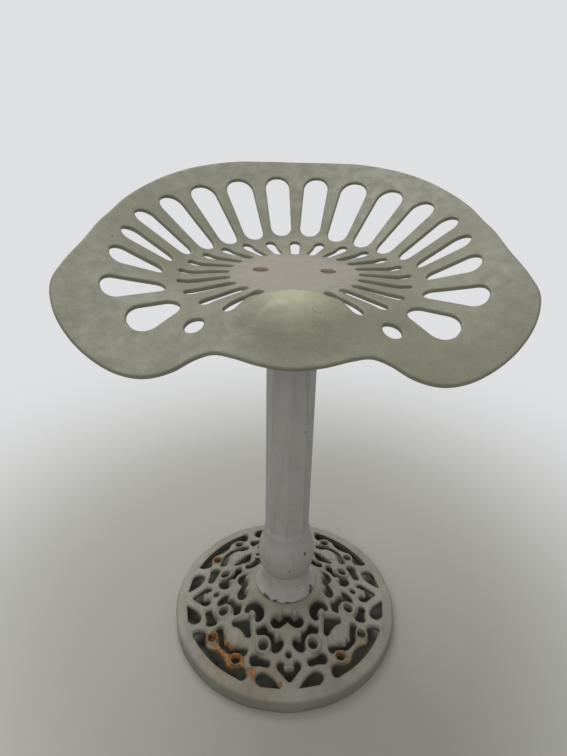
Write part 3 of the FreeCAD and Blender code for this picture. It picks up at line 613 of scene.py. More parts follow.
def slot_loop(angle, start, end, inner, outer, corner_share=1.0):
    """A tapered slot's outline, along an angle from the back."""
    small, large = inner * corner_share, outer * corner_share
    near, far = (start + small, inner - small), (end - large, outer - large)
    lean = math.atan2(far[1] - near[1], far[0] - near[0])
    lean += math.acos((small - large) / math.dist(near, far))
    half = []
    for (along, across), radius, first, last in ((far, large, 0, lean), (near, small, lean, math.pi)):
        count = max(4, int(radius * abs(last - first) / 1.4))
        for swing in np.linspace(first, last, count + 1):
            half.append((across + radius * math.sin(swing), along + radius * math.cos(swing)))
    side = int(max(abs(half[i + 1][1] - half[i][1]) for i in range(len(half) - 1)) / SLOT_STEP)
    jump = max(range(len(half) - 1), key=lambda i: abs(half[i + 1][1] - half[i][1]))
    a, b = np.array(half[jump]), np.array(half[jump + 1])
    straight = [tuple(a + (b - a) * k / side) for k in range(1, side)]
    half = half[:jump + 1] + straight + half[jump + 1:]
    if corner_share < 1:
        half = [(0.0, end)] + half
        half.append((0.0, start))
    half = [(0.0 if abs(x) < ON_AXIS else x, y) for x, y in half]
    return turned(whole(half), angle)


def seat_slots():
    """The slots of the right half: the one that the seat's axis crosses, and the rest."""
    slots = []
    for i in range(INNER_COUNT):
        angle = SLOT_PITCH * i
        start = INNER_ENDS[0] - INNER_SHIFTS[0] * float(smooth_step((angle - 110) / 45))
        end = INNER_ENDS[1] + INNER_SHIFTS[1] * float(smooth_step((angle - 50) / 50))
        slots.append(slot_loop(angle, start, end, *INNER_HALF_WIDTHS))
    for i, (start, end, inner, outer) in enumerate(OUTER_SLOTS):
        slots.append(slot_loop(SLOT_PITCH * (i + 0.5), start, end, inner, outer, OUTER_CORNER_SHARE))
    reach, angle, radius = THIGH_HOLE
    slots.append(turned(circle(0, reach, radius, HOLE_POINTS), angle))
    slots.append(circle(*BOLT_HOLE, HOLE_POINTS))
    return slots[0], slots[1:]


def seat_half_sheet():
    """The right half of the seat's plan as a flat mesh that knows how far its edges are."""
    gaps, step = (0.15, 0.5, 1.0, 1.8, 3.4), 4.4
    plan = closed_curve(whole(SEAT_HALF_PLAN), 3.0)
    middle, slots = seat_slots()
    ends = SEAT_HALF_PLAN[-1][1], SEAT_HALF_PLAN[0][1]
    axis = seam_line([right_half(middle)[::-1]], *ends, gaps, step)
    outline = np.concatenate([axis, right_half(plan)[1:-1]])
    # Rings of points where the hub's thickness steps down to the wall's
    extra = [p for radius in (56.5, 58, 59.5, 61) for p in circle(0, 0, radius, 110)]
    points, faces = pierced_plan(outline, slots, [plan, middle] + slots, gaps, step, extra)
    edge = edge_distance(points, [plan, middle] + slots)
    edge[edge < 1e-3] = 0
    sheet = plain_mesh("seat_pan_painted", np.c_[points, np.zeros(len(points))], faces)
    store = sheet.data.attributes.new(EDGE, "FLOAT", "POINT")
    store.data.foreach_set("value", edge * MM)
    return sheet


DISH_SIZES = {
    "Hub Height": 0.498, "Wall": 0.0048, "Edge Radius": 0.0018, "Edge Squareness": 2.6,
    "Hub Radius": 0.058, "Hub Thickness": 0.009, "Sag": 0.002, "Dish Start": 0.102,
    "Dish Blend": 0.026, "Back Slope": 0.68, "Slope Gain": 0.085, "Front Drop": 1.07,
    "Crest Height": 0.015, "Crest Width": 0.042, "Nose Fall": 0.22, "Nose Width": 0.062,
    "Unevenness": 0.0006}

# The dish, step by step, in metres. A step is the name of its result, what it does and what it
# works on: earlier results, the tree's inputs, which have capitals, and plain numbers. LINEAR and
# SMOOTHSTEP map a value from one range to another, and the rest is arithmetic.
DISH_STEPS = [
    # Slope by the angle from the back
    ("twice", "MULTIPLY", "angle", 2.0),
    ("wave", "COSINE", "twice"),
    ("level", "MULTIPLY_ADD", "wave", "Slope Gain", "Back Slope"),
    ("drop", "SMOOTHSTEP", "angle", math.radians(81), math.radians(148), 0.0, "Front Drop"),
    ("slope", "SUBTRACT", "level", "drop"),
    # Climb past the dish's start, round at first and then straight
    ("run", "SUBTRACT", "reach", "Dish Start"),
    ("onward", "MAXIMUM", "run", 0.0),
    ("bend", "MINIMUM", "onward", "Dish Blend"),
    ("square", "MULTIPLY", "bend", "bend"),
    ("round", "DIVIDE", "square", "Dish Blend"),
    ("past", "SUBTRACT", "run", "Dish Blend"),
    ("straight", "MAXIMUM", "past", 0.0),
    ("climb", "MULTIPLY_ADD", "round", 0.5, "straight"),
    ("rise", "MULTIPLY", "slope", "climb"),
    # Sag beyond the hub
    ("flat", "ADD", "Hub Radius", 0.004),
    ("low", "ADD", "Hub Radius", 0.054),
    ("sag", "SMOOTHSTEP", "reach", "flat", "low", 0.0, "Sag"),
    # Pommel: a crest that rises and fades towards the front, and a nose that falls away
    ("forward", "MULTIPLY", "y", -1.0),
    ("crest side", "DIVIDE", "x", "Crest Width"),
    ("crest square", "MULTIPLY", "crest side", "crest side"),
    ("crest fall", "MULTIPLY", "crest square", -1.0),
    ("crest bell", "EXPONENT", "crest fall"),
    ("start", "SMOOTHSTEP", "forward", 0.060, 0.090, 0.0, "Crest Height"),
    ("fade", "SMOOTHSTEP", "forward", 0.100, 0.155, 1.0, 0.0),
    ("ridge", "MULTIPLY", "start", "fade"),
    ("crest", "MULTIPLY", "ridge", "crest bell"),
    ("nose side", "DIVIDE", "x", "Nose Width"),
    ("nose square", "MULTIPLY", "nose side", "nose side"),
    ("nose fall", "MULTIPLY", "nose square", -1.0),
    ("nose bell", "EXPONENT", "nose fall"),
    ("beyond", "SUBTRACT", "forward", 0.105),
    ("nose", "MAXIMUM", "beyond", 0.0),
    ("steep", "MULTIPLY", "nose", "Nose Fall"),
    ("tip", "MULTIPLY", "steep", "nose bell"),
    # The casting's slight unevenness, which leaves the hub level
    ("centred", "SUBTRACT", "noise", 0.5),
    ("amount", "LINEAR", "reach", "flat", "low", 0.0, "Unevenness"),
    ("wander", "MULTIPLY", "centred", "amount"),
    # The height of it all
    ("dished", "ADD", "Hub Height", "rise"),
    ("sagged", "SUBTRACT", "dished", "sag"),
    ("crested", "ADD", "sagged", "crest"),
    ("nosed", "SUBTRACT", "crested", "tip"),
    ("height", "ADD", "nosed", "wander"),
    # How far the two faces lie over and under the dish, with a soft corner at the edges
    ("near", "LINEAR", "edge", 0.0, "Edge Radius", 1.0, 0.0),
    ("curve", "POWER", "near", "Edge Squareness"),
    ("left", "SUBTRACT", 1.0, "curve"),
    ("root", "DIVIDE", 1.0, "Edge Squareness"),
    ("full", "POWER", "left", "root"),
    ("bare", "SUBTRACT", "full", 1.0),
    ("half", "MULTIPLY", "Wall", 0.5),
    ("over", "MULTIPLY", "bare", "half"),
    ("shelf", "ADD", "Hub Radius", 0.003),
    ("hub", "SMOOTHSTEP", "reach", "Hub Radius", "shelf", "Hub Thickness", "Wall"),
    ("rest", "SUBTRACT", "hub", "half"),
    ("deep", "MULTIPLY", "full", "rest"),
    ("below", "ADD", "deep", "half"),
    ("under", "MULTIPLY", "below", -1.0),
]
RANGE_INPUTS = ("Value", "From Min", "From Max", "To Min", "To Max")


def dished_pan():
    """A tree that lifts a flat half plan into the seat's dish, gives it a wall and mirrors it."""
    tree = new_tree("Dished pan", DISH_SIZES)
    given = add(tree, "NodeGroupInput").outputs
    place = add(tree, "ShaderNodeSeparateXYZ", {0: add(tree, "GeometryNodeInputPosition")}).outputs
    plan = add(tree, "ShaderNodeCombineXYZ", {"X": place["X"], "Y": place["Y"]})
    value = {name: given[name] for name in DISH_SIZES}
    value["x"], value["y"] = place["X"], place["Y"]
    value["reach"] = add(tree, "ShaderNodeVectorMath", {0: plan}, operation="LENGTH").outputs["Value"]
    value["angle"] = add(tree, "ShaderNodeMath", {0: place["X"], 1: place["Y"]}, operation="ARCTAN2")
    value["noise"] = add(tree, "ShaderNodeTexNoise", {"Scale": 22.0, "Detail": 1.0})
    value["edge"] = add(tree, "GeometryNodeInputNamedAttribute", {"Name": EDGE}, data_type="FLOAT")
    for name, work, *terms in DISH_STEPS:
        terms = [value.get(term, term) for term in terms]
        if work in ("LINEAR", "SMOOTHSTEP"):
            value[name] = add(tree, "ShaderNodeMapRange", dict(zip(RANGE_INPUTS, terms)),
                              interpolation_type=work)
        else:
            value[name] = add(tree, "ShaderNodeMath", dict(enumerate(terms)), operation=work)
    lift = add(tree, "ShaderNodeCombineXYZ", {"Z": value["height"]})
    dish = add(tree, "GeometryNodeSetPosition", {"Geometry": given["Geometry"], "Offset": lift})

    # The upper and the lower face lie off the dish along its normals
    normal = add(tree, "GeometryNodeInputNormal")
    faces = []
    for side in ("over", "under"):
        shift = add(tree, "ShaderNodeVectorMath", {0: normal, "Scale": value[side]}, operation="SCALE")
        faces.append(add(tree, "GeometryNodeSetPosition", {"Geometry": dish, "Offset": shift}))
    pair = with_mirror_image(tree, with_flipped(tree, *faces))
    joined = add(tree, "GeometryNodeMergeByDistance", {"Geometry": pair, "Distance": JOIN_DISTANCE_M})
    real = add(tree, "GeometryNodeRealizeInstances", {"Geometry": joined})
    painted = add(tree, "GeometryNodeSetMaterial", {"Geometry": real, "Material": given["Material"]})
    add(tree, "NodeGroupOutput", {0: painted})
    return tree


# Column: an octagonal shaft with soft arrises, run out into a turned vase and a bell skirt

ARRIS_OFFSETS = (0, 0.7, 1.6, 3.4, 8, 15, 22.5, 30, 37, 41.6, 43.4, 44.3)
SOFT_ARRIS = 70.0


def octagon(turns, across_flats):
    """Radius of an octagon with softened corners, one of which is at the front."""
    total = sum(np.clip(np.cos(turns - math.radians(22.5 + 45 * k)), 0, 1) ** SOFT_ARRIS
                for k in range(8))
    return across_flats / 2 / total ** (1 / SOFT_ARRIS)


def arc_rows(low, high, bulge, count):
    """Rows between two (height, radius) points, bowed outward by a bulge at the middle."""
    rows = []
    for t in np.arange(count) / count:
        radius = low[1] + (high[1] - low[1]) * t + bulge * 4 * t * (1 - t)
        rows.append((low[0] + (high[0] - low[0]) * t, radius))
    return rows


def column_rows(sizes):
    """The column's section from the foot up: (height, radius, share of the octagon)."""
    foot, top, skirt, vase = (sizes[name] for name in ("foot", "top", "skirt", "vase"))
    lower = [(foot, 29), (foot, skirt - 1.2), (foot + 0.4, skirt - 0.3), (foot + 1.4, skirt)]
    lower += arc_rows((foot + 3, skirt - 0.6), (86.5, 29.6), -2.9, 12)
    lower += [(86.5, 29.6), (88, 28.3), (89.6, 27.7), (91, 27.8), (92, 28.8), (92.8, 30.6), (93.6, 31.8)]
    lower += arc_rows((94.6, 32.4), (114, vase), 1.3, 8) + arc_rows((114, vase), (143, 31.3), 2.0, 10)
    lower += arc_rows((143, 31.3), (156, 29.8), -0.5, 5)
    ring = [(156, 29.8, 0), (158, 29.3, 0.12), (160, 28.6, 0.4), (162, 27.8, 0.75), (163.5, 27, 0.95),
            (165, 26.5, 1)]
    shaft = [(z, 26, 1) for z in np.linspace(167, top - 0.8, 26)] + [(top, 25.2, 0.96)]
    bore = [(top, 20), (top, 15.4), (top - 0.5, 15), (400, 15), (300, 15), (200, 15), (foot + 22, 15),
            (foot + 20, 17), (foot + 19.5, 27), (foot + 16, 29), (foot + 4, 29)]
    return [(*row, 0) for row in lower] + ring + shaft + [(*row, 0) for row in bore]


def column_casting(sizes):
    """The column's mesh: rings of points up its section, each blended from circle to octagon."""
    turns = np.radians([45 * k + offset for k in range(8) for offset in ARRIS_OFFSETS])
    way = np.c_[np.sin(turns), -np.cos(turns)]
    flat = octagon(turns, sizes["flats"])
    vertices, faces = [], []
    rows = column_rows(sizes)
    n = len(turns)
    for height, radius, share in rows:
        reach = radius * (1 - share) + flat * share * (radius / 26 if share == 1 and radius < 26 else 1)
        vertices.append(np.c_[way * reach[:, None], np.full(n, height)])
    for i in range(len(rows)):
        low, high = i * n, (i + 1) % len(rows) * n
        for k in range(n):
            after = (k + 1) % n
            faces.append((low + k, low + after, high + after, high + k))
    return plain_mesh("column_painted", np.concatenate(vertices), faces)


# Finishes. Patterns run on Object coordinates, brought to millimetres, and marks at a place of their
# own are (x, y, z, radius).

BUTTERFLY_STAIN = (7, -57, 48, 22)
FOOT_RUST = [(-92, -74, 25, 26), (-58, -103, 25, 28), (-40, -119, 24, 17), (-84, -82, 25, 26),
             (-74, -92, 25, 26), (-66, -98, 25, 24), (-106, 63, 24, 15), (74, -92, 25, 15),
             (-2, -132, 24, 8)]
FOOT_WARMTH = [(-70, -100, 25, 88), (-20, -130, 22, 60), (104, -72, 25, 48), (75, -96, 25, 46),
               (-104, 60, 26, 38), BUTTERFLY_STAIN, (-30, -30, 57, 24)]
COLUMN_CHIPS = [(-25, -32, 58, 11), (-13, -39, 57, 9), (4, -41, 58, 7), (35, -20, 60, 11),
                (36, -16, 66, 7), (24, -25, 133, 4.5), (16, -30, 76, 4.5), (-32, -7, 78, 4),
                (-20, 36, 60, 9), (26, 31, 59, 10), (-38, 14, 59, 8), (5, -36, 112, 2.5),
                (-12, -25, 236, 3), (18, -20, 318, 2.5)]
POMMEL_CREST = (3, -94, 510)
SEAT_MARKS = [(22, -128, 505, 24), (118, -132, 503, 26), (-22, -132, 505, 17), (-150, -118, 510, 22)]


def millimetres(tree):
    """Object coordinates in millimetres."""
    place = add(tree, "ShaderNodeTexCoord").outputs["Object"]
    return add(tree, "ShaderNodeVectorMath", {0: place, "Scale": 1000.0}, operation="SCALE")


def spots(tree, place, ragged, marks, soft):
    """How strongly each point is marked; marks are (x, y, z, radius) with ragged, soft borders."""
    total = 0.0
    for *centre, radius in marks:
        gap = add(tree, "ShaderNodeVectorMath", {0: place, 1: centre}, operation="DISTANCE")
        share = add(tree, "ShaderNodeMapRange", {
            "Value": gap.outputs["Value"], "From Max": radius, "To Min": 1.0, "To Max": 0.0})
        total = add(tree, "ShaderNodeMath", {0: total, 1: share}, operation="MAXIMUM")
    wander = add(tree, "ShaderNodeMath", {0: ragged, 1: 1.5, 2: -0.75}, operation="MULTIPLY_ADD")
    raw = add(tree, "ShaderNodeMath", {0: total, 1: wander}, operation="ADD")
    mask = add(tree, "ShaderNodeMapRange", {"Value": raw, "From Min": 0.4, "From Max": 0.4 + soft},
               interpolation_type="SMOOTHSTEP")
    near = add(tree, "ShaderNodeMath", {0: total, 1: 0.02}, operation="GREATER_THAN")
    return add(tree, "ShaderNodeMath", {0: mask, 1: near}, operation="MULTIPLY")


def laid_over(tree, colour, layers):
    """Lays tones over a colour one after another; layers are (mask, tone)."""
    for mask, tone in layers:
        colour = add(tree, "ShaderNodeMix", {0: mask, 6: colour, 7: tone}, data_type="RGBA").outputs[2]
    return colour


def old_paint(tree, place, tones):
    """Brushed paint that has gone chalky: two clouded tones, a third in blotches, and fine dirt.

    It gives the colour, the paint's blotches and the height of the sand-cast skin below it.
    """
    cloud = add(tree, "ShaderNodeTexNoise", {"Vector": place, "Scale": 1 / 75, "Detail": 3.0})
    share = add(tree, "ShaderNodeMapRange", {"Value": cloud, "From Min": 0.36, "From Max": 0.64})
    blotch = add(tree, "ShaderNodeTexNoise", {
        "Vector": place, "Scale": 1 / 14, "Detail": 4.0, "Roughness": 0.62})
    dab = add(tree, "ShaderNodeMapRange", {
        "Value": blotch, "From Min": 0.46, "From Max": 0.82, "To Max": 0.45})
    colour = laid_over(tree, tones[0], [(share, tones[1]), (dab, tones[2])])
    # Dirt in the sand's grain: the grain is about 0.4 mm, drawn at 1.4 mm so that it shows
    grain = add(tree, "ShaderNodeTexNoise", {
        "Vector": place, "Scale": 1 / 1.4, "Detail": 3.0, "Roughness": 0.7})
    dirt = add(tree, "ShaderNodeMapRange", {
        "Value": grain, "From Min": 0.34, "From Max": 0.6, "To Min": 0.94, "To Max": 1.02})
    shade = add(tree, "ShaderNodeCombineXYZ", {axis: dirt for axis in "XYZ"})
    dirty = add(tree, "ShaderNodeMix", {0: 1.0, 6: colour, 7: shade}, data_type="RGBA",
                blend_type="MULTIPLY")
    # Lumps that the mould leaves, 11 mm apart, below the grain
    lumps = add(tree, "ShaderNodeTexNoise", {"Vector": place, "Scale": 1 / 11, "Detail": 2.0})
    skin = add(tree, "ShaderNodeMath", {0: lumps, 1: 2.4, 2: grain}, operation="MULTIPLY_ADD")
    return dirty.outputs[2], blotch, skin


def rusted(tree, colour, skin, place, mask, tones):
    """Lays rust over a colour where the mask is high. The rust lies lower in the bump, so its edge has a
    lip.
    """
    mottle = add(tree, "ShaderNodeTexNoise", {"Vector": place, "Scale": 1 / 4.5, "Detail": 4.0})
    shade = set_ramp(add(tree, "ShaderNodeValToRGB", {"Fac": mottle}), [
        (0.36, linear(tones[0])), (0.62, linear(tones[1]))])
    skin = add(tree, "ShaderNodeMath", {0: mask, 1: -0.9, 2: skin}, operation="MULTIPLY_ADD")
    return laid_over(tree, colour, [(mask, shade)]), skin


def new_finish(name):
    """An empty material in place of any earlier one of that name, and its tree."""
    old = bpy.data.materials.get(name)
    if old is not None:
        bpy.data.materials.remove(old)
    finish = bpy.data.materials.new(name)
    finish.use_nodes = True
    finish.node_tree.nodes.clear()
    return finish, finish.node_tree


def close_finish(tree, colour, skin, rough, depth, **constants):
    """Joins colour, roughness and bump to the shader. The depth of the bump is in metres."""
    bump = add(tree, "ShaderNodeBump", {"Strength": 0.6, "Distance": depth, "Height": skin})
    shader = add(tree, "ShaderNodeBsdfPrincipled", {
        "Base Color": colour, "Roughness": rough, "Normal": bump})
    for name, value in constants.items():
        shader.inputs[name.replace("_", " ")].default_value = value
    add(tree, "ShaderNodeOutputMaterial", {"Surface": shader})


def chalkiness(tree, blotch, low, high):
    """Roughness that follows the paint's blotches."""
    return add(tree, "ShaderNodeMapRange", {
        "Value": blotch, "From Min": 0.35, "From Max": 0.7, "To Min": low, "To Max": high})


def seat_finish(colours):
    # Matt oil paint brushed on sand-cast iron, greenish with age: soft broad highlights, a grain
    # under the paint, and a browner patch on the hub where hands and sun have been.
    finish, tree = new_finish("seat_old_paint_on_cast_iron")
    place = millimetres(tree)
    colour, blotch, skin = old_paint(tree, place, colours)
    split = add(tree, "ShaderNodeSeparateXYZ", {0: place}).outputs
    plan = add(tree, "ShaderNodeCombineXYZ", {"X": split["X"], "Y": split["Y"]})
    reach = add(tree, "ShaderNodeVectorMath", {0: plan}, operation="LENGTH").outputs["Value"]
    waver = add(tree, "ShaderNodeMath", {0: blotch, 1: 46.0, 2: reach}, operation="MULTIPLY_ADD")
    hub = add(tree, "ShaderNodeMapRange", {
        "Value": waver, "From Min": 66.0, "From Max": 118.0, "To Min": 0.8, "To Max": 0.0},
        interpolation_type="SMOOTHSTEP")
    # Painted highlight on the pommel's crest: paler and yellower paint where the light catches the top
    away = add(tree, "ShaderNodeVectorMath", {0: place, 1: POMMEL_CREST},
               operation="DISTANCE").outputs["Value"]
    uneven = add(tree, "ShaderNodeMath", {0: blotch, 1: 26.0, 2: away}, operation="MULTIPLY_ADD")
    crest_highlight = add(tree, "ShaderNodeMapRange", {
        "Value": uneven, "From Min": 16.0, "From Max": 66.0, "To Min": 0.85, "To Max": 0.0},
        interpolation_type="SMOOTHSTEP")
    # Hairline marks where the paint has cracked, kept to a few places on the front
    wavy = add(tree, "ShaderNodeTexNoise", {"Vector": place, "Scale": 1 / 9, "Detail": 2.0})
    bent = add(tree, "ShaderNodeVectorMath", {0: wavy.outputs["Color"], 1: (11, 11, 11), 2: place},
               operation="MULTIPLY_ADD")
    crazing = add(tree, "ShaderNodeTexVoronoi", {"Vector": bent, "Scale": 1 / 17},
                  feature="DISTANCE_TO_EDGE")
    line = add(tree, "ShaderNodeMapRange", {
        "Value": crazing, "From Max": 0.045, "To Min": 0.55, "To Max": 0.0})
    patches = spots(tree, place, wavy, SEAT_MARKS, 0.2)
    mark = add(tree, "ShaderNodeMath", {0: line, 1: patches}, operation="MULTIPLY")
    colour = laid_over(tree, colour, [
        (hub, linear("#938b81")), (crest_highlight, linear("#aaa88c")), (mark, linear("#4b463b"))])
    # Pin chips down to rusty iron, thinly scattered
    pits = add(tree, "ShaderNodeTexVoronoi", {"Vector": place, "Scale": 1 / 30}).outputs
    chance = add(tree, "ShaderNodeSeparateColor", {0: pits["Color"]})
    size = add(tree, "ShaderNodeMapRange", {
        "Value": chance.outputs["Red"], "From Min": 0.72, "From Max": 1.0, "To Max": 0.045})
    chip = add(tree, "ShaderNodeMath", {0: size, 1: pits["Distance"]}, operation="GREATER_THAN")
    colour, skin = rusted(tree, colour, skin, place, chip, ("#382a20", "#6b4c34"))
    close_finish(tree, colour, skin, chalkiness(tree, blotch, 0.46, 0.66), 0.00045)
    return finish


def column_finish(colours):
    # The same paint, more neutral, on a cast column: runs and rubbed arrises down its length, and
    # a rusty joint where the skirt stands on the foot.
    finish, tree = new_finish("column_old_paint_on_cast_iron")
    place = millimetres(tree)
    colour, blotch, skin = old_paint(tree, place, colours)
    split = add(tree, "ShaderNodeSeparateXYZ", {0: place})
    x, y, z = (split.outputs[axis] for axis in "XYZ")
    stretched = add(tree, "ShaderNodeVectorMath", {0: place, 1: (0.16, 0.16, 0.012)},
                    operation="MULTIPLY")
    runs = add(tree, "ShaderNodeTexNoise", {"Vector": stretched, "Scale": 1.0, "Detail": 3.0})
    streak = add(tree, "ShaderNodeMapRange", {
        "Value": runs, "From Min": 0.5, "From Max": 0.8, "To Max": 0.22})
    # Rubbed arrises: every 45 degrees round the shaft, one of them at the front
    turn = add(tree, "ShaderNodeMath", {0: x, 1: y}, operation="ARCTAN2")
    eightfold = add(tree, "ShaderNodeMath", {0: turn, 1: 8.0}, operation="MULTIPLY")
    wave = add(tree, "ShaderNodeMath", {0: eightfold}, operation="COSINE")
    rub = add(tree, "ShaderNodeMapRange", {"Value": wave, "From Min": 0.975, "From Max": 1.0})
    shaft = add(tree, "ShaderNodeMapRange", {"Value": z, "From Min": 158.0, "From Max": 170.0})
    patchy = add(tree, "ShaderNodeMapRange", {
        "Value": runs, "From Min": 0.45, "From Max": 0.7, "To Min": 0.05, "To Max": 0.5})
    arris = add(tree, "ShaderNodeMath", {0: rub, 1: shaft}, operation="MULTIPLY")
    worn = add(tree, "ShaderNodeMath", {0: arris, 1: patchy}, operation="MULTIPLY")
    # Painted shade in the groove between the vase and the skirt
    groove = add(tree, "ShaderNodeMapRange", {"Value": z, "From Min": 86.0, "From Max": 91.0})
    lip = add(tree, "ShaderNodeMapRange", {
        "Value": z, "From Min": 91.5, "From Max": 95.0, "To Min": 0.6, "To Max": 0.0})
    groove_shade = add(tree, "ShaderNodeMath", {0: groove, 1: lip}, operation="MULTIPLY")
    colour = laid_over(tree, colour, [
        (streak, linear("#6a6862")), (worn, linear("#5d554b")), (groove_shade, linear("#4f4b44"))])
    # The rusty joint under the skirt, and chips at their places
    torn = add(tree, "ShaderNodeTexNoise", {
        "Vector": place, "Scale": 1 / 5, "Detail": 5.0, "Roughness": 0.65})
    height = add(tree, "ShaderNodeMath", {0: torn, 1: -7.0, 2: z}, operation="MULTIPLY_ADD")
    joint = add(tree, "ShaderNodeMapRange", {
        "Value": height, "From Min": 54.6, "From Max": 56.2, "To Min": 1.0, "To Max": 0.0})
    chips = spots(tree, place, torn, COLUMN_CHIPS, 0.16)
    mask = add(tree, "ShaderNodeMath", {0: joint, 1: chips}, operation="MAXIMUM")
    colour, skin = rusted(tree, colour, skin, place, mask, ("#3b2c24", "#70503a"))
    close_finish(tree, colour, skin, chalkiness(tree, blotch, 0.5, 0.7), 0.0005)
    return finish


def foot_finish(colours):
    # The same paint on the pierced foot, whose underside is dark bare iron, made dark also as a
    # painted shade inside the bell: some of the eyes have rusted through, bright orange at the heart,
    # and have bled a warm stain round them.
    finish, tree = new_finish("foot_old_paint_on_cast_iron")
    place = millimetres(tree)
    colour, blotch, skin = old_paint(tree, place, colours)
    torn = add(tree, "ShaderNodeTexNoise", {
        "Vector": place, "Scale": 1 / 13, "Detail": 5.0, "Roughness": 0.6})
    warm = spots(tree, place, torn, FOOT_WARMTH, 0.9)
    faint = add(tree, "ShaderNodeMath", {0: warm, 1: 0.9}, operation="MULTIPLY")
    # Painted shade: faces that point down are darkened, as bare iron and as the shade under the bell
    surface = add(tree, "ShaderNodeNewGeometry").outputs["True Normal"]
    facing = add(tree, "ShaderNodeSeparateXYZ", {0: surface}).outputs["Z"]
    below = add(tree, "ShaderNodeMapRange", {
        "Value": facing, "From Min": -0.5, "From Max": -0.05, "To Min": 0.95, "To Max": 0.0})
    # Painted shade, with some grime: the webs are darker on their flanks, which face away from the light
    # above, and lighter on their tops
    flank_shade = add(tree, "ShaderNodeMapRange", {
        "Value": facing, "From Min": 0.15, "From Max": 0.9, "To Min": 0.75, "To Max": 0.0})
    within = add(tree, "ShaderNodeVectorMath", {0: place}, operation="LENGTH").outputs["Value"]
    field = add(tree, "ShaderNodeMapRange", {
        "Value": within, "From Min": 139.0, "From Max": 143.0, "To Min": 1.0, "To Max": 0.25})
    flank_shade_and_grime = add(tree, "ShaderNodeMath", {0: flank_shade, 1: field}, operation="MULTIPLY")
    colour = laid_over(tree, colour, [
        (faint, linear("#857150")), (below, linear("#3f3a33")), (flank_shade_and_grime, linear("#4d493d"))])
    rust = spots(tree, place, torn, FOOT_RUST, 0.35)
    strong = add(tree, "ShaderNodeMath", {0: rust, 1: 0.85}, operation="MULTIPLY")
    colour, skin = rusted(tree, colour, skin, place, strong, ("#5a3b18", "#a66e2c"))
    close_finish(tree, colour, skin, chalkiness(tree, blotch, 0.5, 0.72), 0.0005)
    return finish


def flange_finish():
    # Bare cast iron, left as it came from the sand: dark, dull and pitted, with a brown bloom.
    finish, tree = new_finish("flange_bare_cast_iron")
    place = millimetres(tree)
    colour, blotch, skin = old_paint(tree, place, [linear(c) for c in ("#57544f", "#4b4741", "#5e5044")])
    close_finish(tree, colour, skin, chalkiness(tree, blotch, 0.5, 0.74), 0.0006, Metallic=0.35)
    return finish


def steel_finish():
    # Turned and forged steel that has rusted evenly: brown and dull, with darker pits.
    finish, tree = new_finish("hardware_rusty_steel")
    place = millimetres(tree)
    blotch = add(tree, "ShaderNodeTexNoise", {
        "Vector": place, "Scale": 1 / 3.2, "Detail": 5.0, "Roughness": 0.66})
    shade = set_ramp(add(tree, "ShaderNodeValToRGB", {"Fac": blotch}), [
        (0.32, linear("#33291f")), (0.5, linear("#66503f")), (0.68, linear("#8a7460"))])
    pits = add(tree, "ShaderNodeTexNoise", {"Vector": place, "Scale": 1 / 0.9, "Detail": 3.0})
    rough = chalkiness(tree, blotch, 0.55, 0.85)
    close_finish(tree, shade, pits, rough, 0.0003, Metallic=0.25)
    return finish


# Sizes and colours that a user would change


class StoolFootSizes(bpy.types.PropertyGroup):
    radius: FloatProperty(
        name="Radius", description="Radius of the foot's rim on the floor",
        default=0.152, min=0.145, max=0.16, subtype="DISTANCE", unit="LENGTH")
    rim_height: FloatProperty(
        name="Rim Height", description="Height of the rim's upright side",
        default=0.0225, min=0.018, max=0.026, subtype="DISTANCE", unit="LENGTH")
    rim_round: FloatProperty(
        name="Rim Rounding", description="Radius of the rim's outer edge",
        default=0.0055, min=0.001, max=0.0065, subtype="DISTANCE", unit="LENGTH")
    wall: FloatProperty(
        name="Wall", description="Thickness of the pierced shell",
        default=0.006, min=0.004, max=0.008, subtype="DISTANCE", unit="LENGTH")
    turn: FloatProperty(
        name="Turn", description="How far the pattern is turned from the seat's axis",
        default=math.radians(4.0), subtype="ANGLE", unit="ROTATION")


class StoolColumnSizes(bpy.types.PropertyGroup):
    across_flats: FloatProperty(
        name="Across Flats", description="Width of the octagonal shaft between opposite faces",
        default=0.052, min=0.045, max=0.056, subtype="DISTANCE", unit="LENGTH")
    vase_radius: FloatProperty(
        name="Vase Radius", description="Radius of the vase at its widest",
        default=0.0365, min=0.032, max=0.04, subtype="DISTANCE", unit="LENGTH")
    skirt_radius: FloatProperty(
        name="Skirt Radius", description="Radius of the bell skirt where it stands on the foot",
        default=0.041, min=0.036, max=0.042, subtype="DISTANCE", unit="LENGTH")


class StoolSeatSizes(bpy.types.PropertyGroup):
    hub_height: FloatProperty(
        name="Hub Height", description="Height of the hub's upper face over the floor",
        default=0.498, min=0.3, max=0.8, subtype="DISTANCE", unit="LENGTH")
    wall: FloatProperty(
        name="Wall", description="Thickness of the cast pan",
        default=0.0048, min=0.003, max=0.008, subtype="DISTANCE", unit="LENGTH")
    edge_radius: FloatProperty(
        name="Edge Radius", description="How far the rounding of every edge reaches in",
        default=0.0018, min=0.0005, max=0.003, subtype="DISTANCE", unit="LENGTH")
    back_slope: FloatProperty(
        name="Back Slope", description="Rise over run of the pan's back",
        default=0.68, min=0.2, max=1.2, subtype="FACTOR")


class StoolPaint(bpy.types.PropertyGroup):
    seat: FloatVectorProperty(
        name="Seat", description="Main tone of the seat's paint",
        default=linear("#71715f")[:3], size=3, min=0.0, max=1.0, subtype="COLOR")
    seat_pale: FloatVectorProperty(
        name="Seat, Pale", description="Paler tone that clouds the seat's paint",
        default=linear("#7a7a66")[:3], size=3, min=0.0, max=1.0, subtype="COLOR")
    column: FloatVectorProperty(
        name="Column", description="Main tone of the column's paint",
        default=linear("#a8a7a2")[:3], size=3, min=0.0, max=1.0, subtype="COLOR")
    foot: FloatVectorProperty(
        name="Foot", description="Main tone of the foot's paint",
        default=linear("#8a887c")[:3], size=3, min=0.0, max=1.0, subtype="COLOR")


